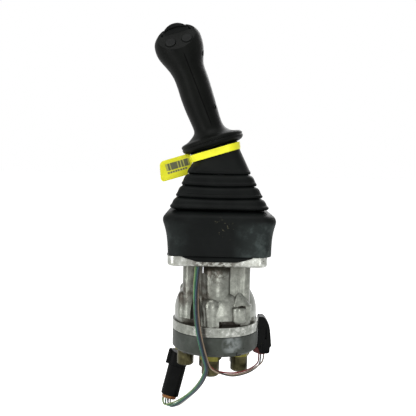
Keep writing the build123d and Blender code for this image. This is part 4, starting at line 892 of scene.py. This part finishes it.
# ---------------------------------------------------------------- return springs
# a steel copy of each spring's mesh, in place of its node
for side in SIDES:
    node = "return_spring_" + side
    spring = bpy.data.objects.new("coil_" + side, NODES[node].data.copy())
    bpy.context.collection.objects.link(spring)
    spring.data.materials.clear()
    spring.data.materials.append(MAT_STEEL)
    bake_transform(spring)
    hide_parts(node)

# ---------------------------------------------------------------- cords
# the harness's middle line: the trunk from its grommet down, then its two branches
TRUNK = [
    (-18.8, -40.5, -0.5), (-19.6, -41.0, -14.0), (-19.8, -42.5, -28.0), (-19.0, -45.0, -42.0),
    (-17.4, -48.0, -56.0), (-14.6, -49.0, -70.0), (-10.8, -48.0, -84.0), (-7.0, -45.5, -97.0),
]
LEFT = [
    (-7.9, -45.2, -98.4), (-9.2, -40.5, -106.5), (-13.0, -31.0, -117.0), (-19.0, -19.5, -128.5),
    (-27.5, -5.5, -141.0), (-36.0, 7.6, -152.0), (-42.2, 16.9, -158.0),
]
RIGHT = [
    (-4.3, -45.3, -97.2), (0.0, -43.3, -102.4), (8.2, -40.5, -104.8), (17.0, -36.0, -106.3),
    (25.6, -29.0, -107.2), (33.6, -19.5, -107.7), (40.6, -8.0, -107.6), (46.6, 3.5, -107.0),
]
WIRE_R = 0.75
# the bundle turns by this much from the trunk to a branch, and wires settle into it over this many points
BUNDLE_TURN = math.radians(-50)
SETTLE = 3
# a plug's end for wires: its middle, the way across it and the way into it
LEFT_END = ((-48.4, 28.1, -153.2), (0.972, 0.0, -0.233), (0.233, 0.0, 0.972))
RIGHT_END = ((49.4, 14.0, -99.4), (1.0, 0.0, 0.0), (0.0, 0.0, 1.0))


def wire_curve(name, points, material):
    cu = bpy.data.curves.new(name, "CURVE")
    cu.dimensions = "3D"
    cu.resolution_u = 10
    cu.bevel_depth = WIRE_R * MM
    cu.bevel_resolution = 4
    cu.use_fill_caps = True
    sp = cu.splines.new("NURBS")
    sp.points.add(len(points) - 1)
    for p, c in zip(sp.points, points):
        p.co = (*(c * MM), 1.0)
    sp.order_u = 3
    sp.use_endpoint_u = True
    ob = bpy.data.objects.new(name, cu)
    bpy.context.collection.objects.link(ob)
    cu.materials.append(material)
    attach(ob, "housing")
    return ob


def beside(route, start, end):
    """The route's own points moved aside, so that a wire keeps its place in the bundle.

    start and end are the wire's angle and reach, and it settles from one to the other in the first points.
    """
    out = []
    last = len(route) - 1
    for i, p in enumerate(route):
        run = (Vector(route[min(i + 1, last)]) - Vector(route[max(i - 1, 0)])).normalized()
        side = Vector((-run.z, 0.0, run.x)).normalized()
        depth = side.cross(run)
        f = min(1.0, i / SETTLE)
        a = start[0] + (end[0] - start[0]) * f
        r = start[1] + (end[1] - start[1]) * f
        out.append(Vector(p) + (side * math.cos(a) + depth * math.sin(a)) * r)
    return out


WIRE_TAIL = 1.6
RIGHT_CORNER = 4.4
LEFT_CORNER, LEFT_LEAD = 4.0, 0.4
LEFT_HEADING = Vector((-0.55, 0.73, -0.40)).normalized()
TURN_CORNERS = 3
TURN_LEG = 3.5


def straight_into_right(tip, inward):
    """Last points of a wire that goes straight up into the right plug."""
    return [tip - inward * RIGHT_CORNER, tip + inward * WIRE_TAIL]


def round_into_left(tip, inward):
    """Last points of a wire that turns up into the left plug, its corner rounded off in equal small ones.

    They are worked out here and aren't points of the part's route.
    """
    whole = LEFT_HEADING.angle(inward)
    aside = (inward - LEFT_HEADING * math.cos(whole)).normalized()
    corner = tip - inward * LEFT_CORNER
    points = [corner, tip - inward * LEFT_LEAD, tip + inward * WIRE_TAIL]
    for k in range(TURN_CORNERS - 1, 0, -1):
        a = whole * k / TURN_CORNERS
        corner = corner - (LEFT_HEADING * math.cos(a) + aside * math.sin(a)) * TURN_LEG
        points.insert(0, corner)
    return points


# for each branch: its route, its plug's end, the last points, the share of the fan at the route's last point
# and at the one before it, the cord's length in metres and the pieces at its end
BRANCHES = {
    "left": (LEFT, LEFT_END, round_into_left, (0.6, 0.3), 0.21,
             ["left_plug_shell", "left_plug_seal", "left_plug_latch"]),
    "right": (RIGHT, RIGHT_END, straight_into_right, (0.5, 0.0), 0.19,
              ["right_plug_shell", "right_plug_seal"]),
}
# name, colour, angle and reach in the trunk, branch, angle and reach there, place across and back in the plug
WIRES = [
    ("wire_a", (0.22, 0.32, 0.11), 210, 1.96, "left", 190, 1.7, -4.2, -2.6),
    ("wire_b", (0.026, 0.150, 0.070), 255, 1.96, "left", 240, 1.7, -1.6, -2.8),
    ("wire_c", (0.018, 0.045, 0.075), 300, 1.96, "left", 290, 1.7, 1.2, -2.6),
    ("wire_d", (0.010, 0.010, 0.011), 345, 1.96, "left", 340, 1.8, -5.0, 0.2),
    ("wire_e", (0.42, 0.40, 0.32), 165, 1.96, "left", 20, 2.4, 3.4, 0.6),
    ("wire_f", (0.045, 0.024, 0.052), 0, 0.0, "left", 0, 0.2, 0.4, 2.4),
    ("wire_g", (0.34, 0.25, 0.17), 30, 1.96, "right", -120, 0.8, 2.6, -1.2),
    ("wire_h", (0.26, 0.030, 0.026), 75, 1.96, "right", -20, 1.3, -2.8, -2.0),
    ("wire_i", (0.012, 0.012, 0.012), 120, 1.96, "right", -160, 1.9, -0.4, 2.4),
]
for name, color, angle, reach, branch, branch_angle, branch_reach, across, back in WIRES:
    route, (centre, sideways, inward), last_points, fans, length, end_pieces = BRANCHES[branch]
    first = (math.radians(angle), reach)
    split = (math.radians(angle) + BUNDLE_TURN, reach)
    lead = (math.radians(branch_angle), branch_reach)
    run_out = beside(route, split, lead)[1:]
    fan = Vector(sideways) * across + Vector((0.0, back, 0.0))
    run_out[-1] += fan * fans[0]
    run_out[-2] += fan * fans[1]
    points = beside(TRUNK, first, split) + run_out + last_points(Vector(centre) + fan, Vector(inward))
    dark = tuple(c * 0.6 for c in color)
    wire = wire_curve(name, points, plain(name, dark, color, 160, (0.30, 0.45), spec=0.35))
    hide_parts("harness_trunk", "harness_" + branch)

# ---------------------------------------------------------------- floor, light and camera
FLOOR_Z = -0.1665
FLOOR_HALF = 12.0
floor_data = bpy.data.meshes.new("floor")
bm = bmesh.new()
bmesh.ops.create_grid(bm, x_segments=1, y_segments=1, size=FLOOR_HALF)
bm.to_mesh(floor_data)
bm.free()
floor = bpy.data.objects.new("floor", floor_data)
floor.location = (0, 0, FLOOR_Z)
bpy.context.collection.objects.link(floor)


def shown_ray(nt):
    """1 for camera, glossy and transmission rays."""
    path = nt.nodes.new("ShaderNodeLightPath")
    rays = ("Is Camera Ray", "Is Glossy Ray", "Is Transmission Ray")
    return most(nt, *[path.outputs[ray] for ray in rays])


# world and floor show white, and the world lights the object at WORLD_LIGHT
WORLD_LIGHT = 0.25
FLOOR_GLOW = 0.80
fm, fnt, fp = new_material("floor_pale")
fp.inputs["Base Color"].default_value = (0.9, 0.9, 0.9, 1)
fp.inputs["Roughness"].default_value = 0.9
fp.inputs["Emission Color"].default_value = (1, 1, 1, 1)
fnt.links.new(times(fnt, shown_ray(fnt), FLOOR_GLOW), fp.inputs["Emission Strength"])
floor_data.materials.append(fm)

world = bpy.data.worlds.new("studio")
bpy.context.scene.world = world
world.use_nodes = True
wnt = world.node_tree
bg = wnt.nodes["Background"]
bg.inputs["Color"].default_value = (1, 1, 1, 1)
glow = times(wnt, shown_ray(wnt), 1.0 - WORLD_LIGHT)
wnt.links.new(math_node(wnt, "ADD", glow, WORLD_LIGHT), bg.inputs["Strength"])


def area_light(name, location, target, size, power):
    data = bpy.data.lights.new(name, "AREA")
    data.shape = "RECTANGLE"
    data.size, data.size_y = size
    data.energy = power
    ob = bpy.data.objects.new(name, data)
    ob.location = location
    ob.rotation_euler = (Vector(target) - Vector(location)).to_track_quat("-Z", "Y").to_euler()
    bpy.context.collection.objects.link(ob)


area_light("strip_left", (-0.62, -0.55, 0.10), (0, 0, 0.0), (0.20, 0.9), 4.2)
area_light("strip_right", (0.22, -0.85, 0.05), (0, 0, -0.03), (0.12, 0.8), 2.4)
area_light("top", (-0.1, -0.30, 0.85), (0, 0, 0.05), (0.5, 0.4), 3)
area_light("rim", (0.3, 0.75, 0.5), (0, 0, 0.05), (0.5, 0.6), 4)

# the camera looks down by CAM_PITCH and leans by CAM_ROLL
SENSOR = 36.0
FOCAL_OVER_FRAME = 645.0 / 416.0
CAM_PLACE = (-0.00999, -0.650, 0.098)
CAM_PITCH, CAM_ROLL = math.radians(4.0), math.radians(1.33)
cam_data = bpy.data.cameras.new("camera")
cam = bpy.data.objects.new("camera", cam_data)
bpy.context.collection.objects.link(cam)
cam_data.sensor_width = SENSOR
cam_data.lens = SENSOR * FOCAL_OVER_FRAME
look = Vector((0, math.cos(CAM_PITCH), -math.sin(CAM_PITCH)))
level_up = Vector((0, math.sin(CAM_PITCH), math.cos(CAM_PITCH)))
level_side = Vector((1, 0, 0))
side = level_side * math.cos(CAM_ROLL) + level_up * math.sin(CAM_ROLL)
up = level_up * math.cos(CAM_ROLL) - level_side * math.sin(CAM_ROLL)
turn = Matrix((side, up, -look)).transposed()
cam.matrix_world = Matrix.Translation(CAM_PLACE) @ turn.to_4x4()
bpy.context.scene.camera = cam
bpy.context.scene.view_settings.view_transform = "Standard"
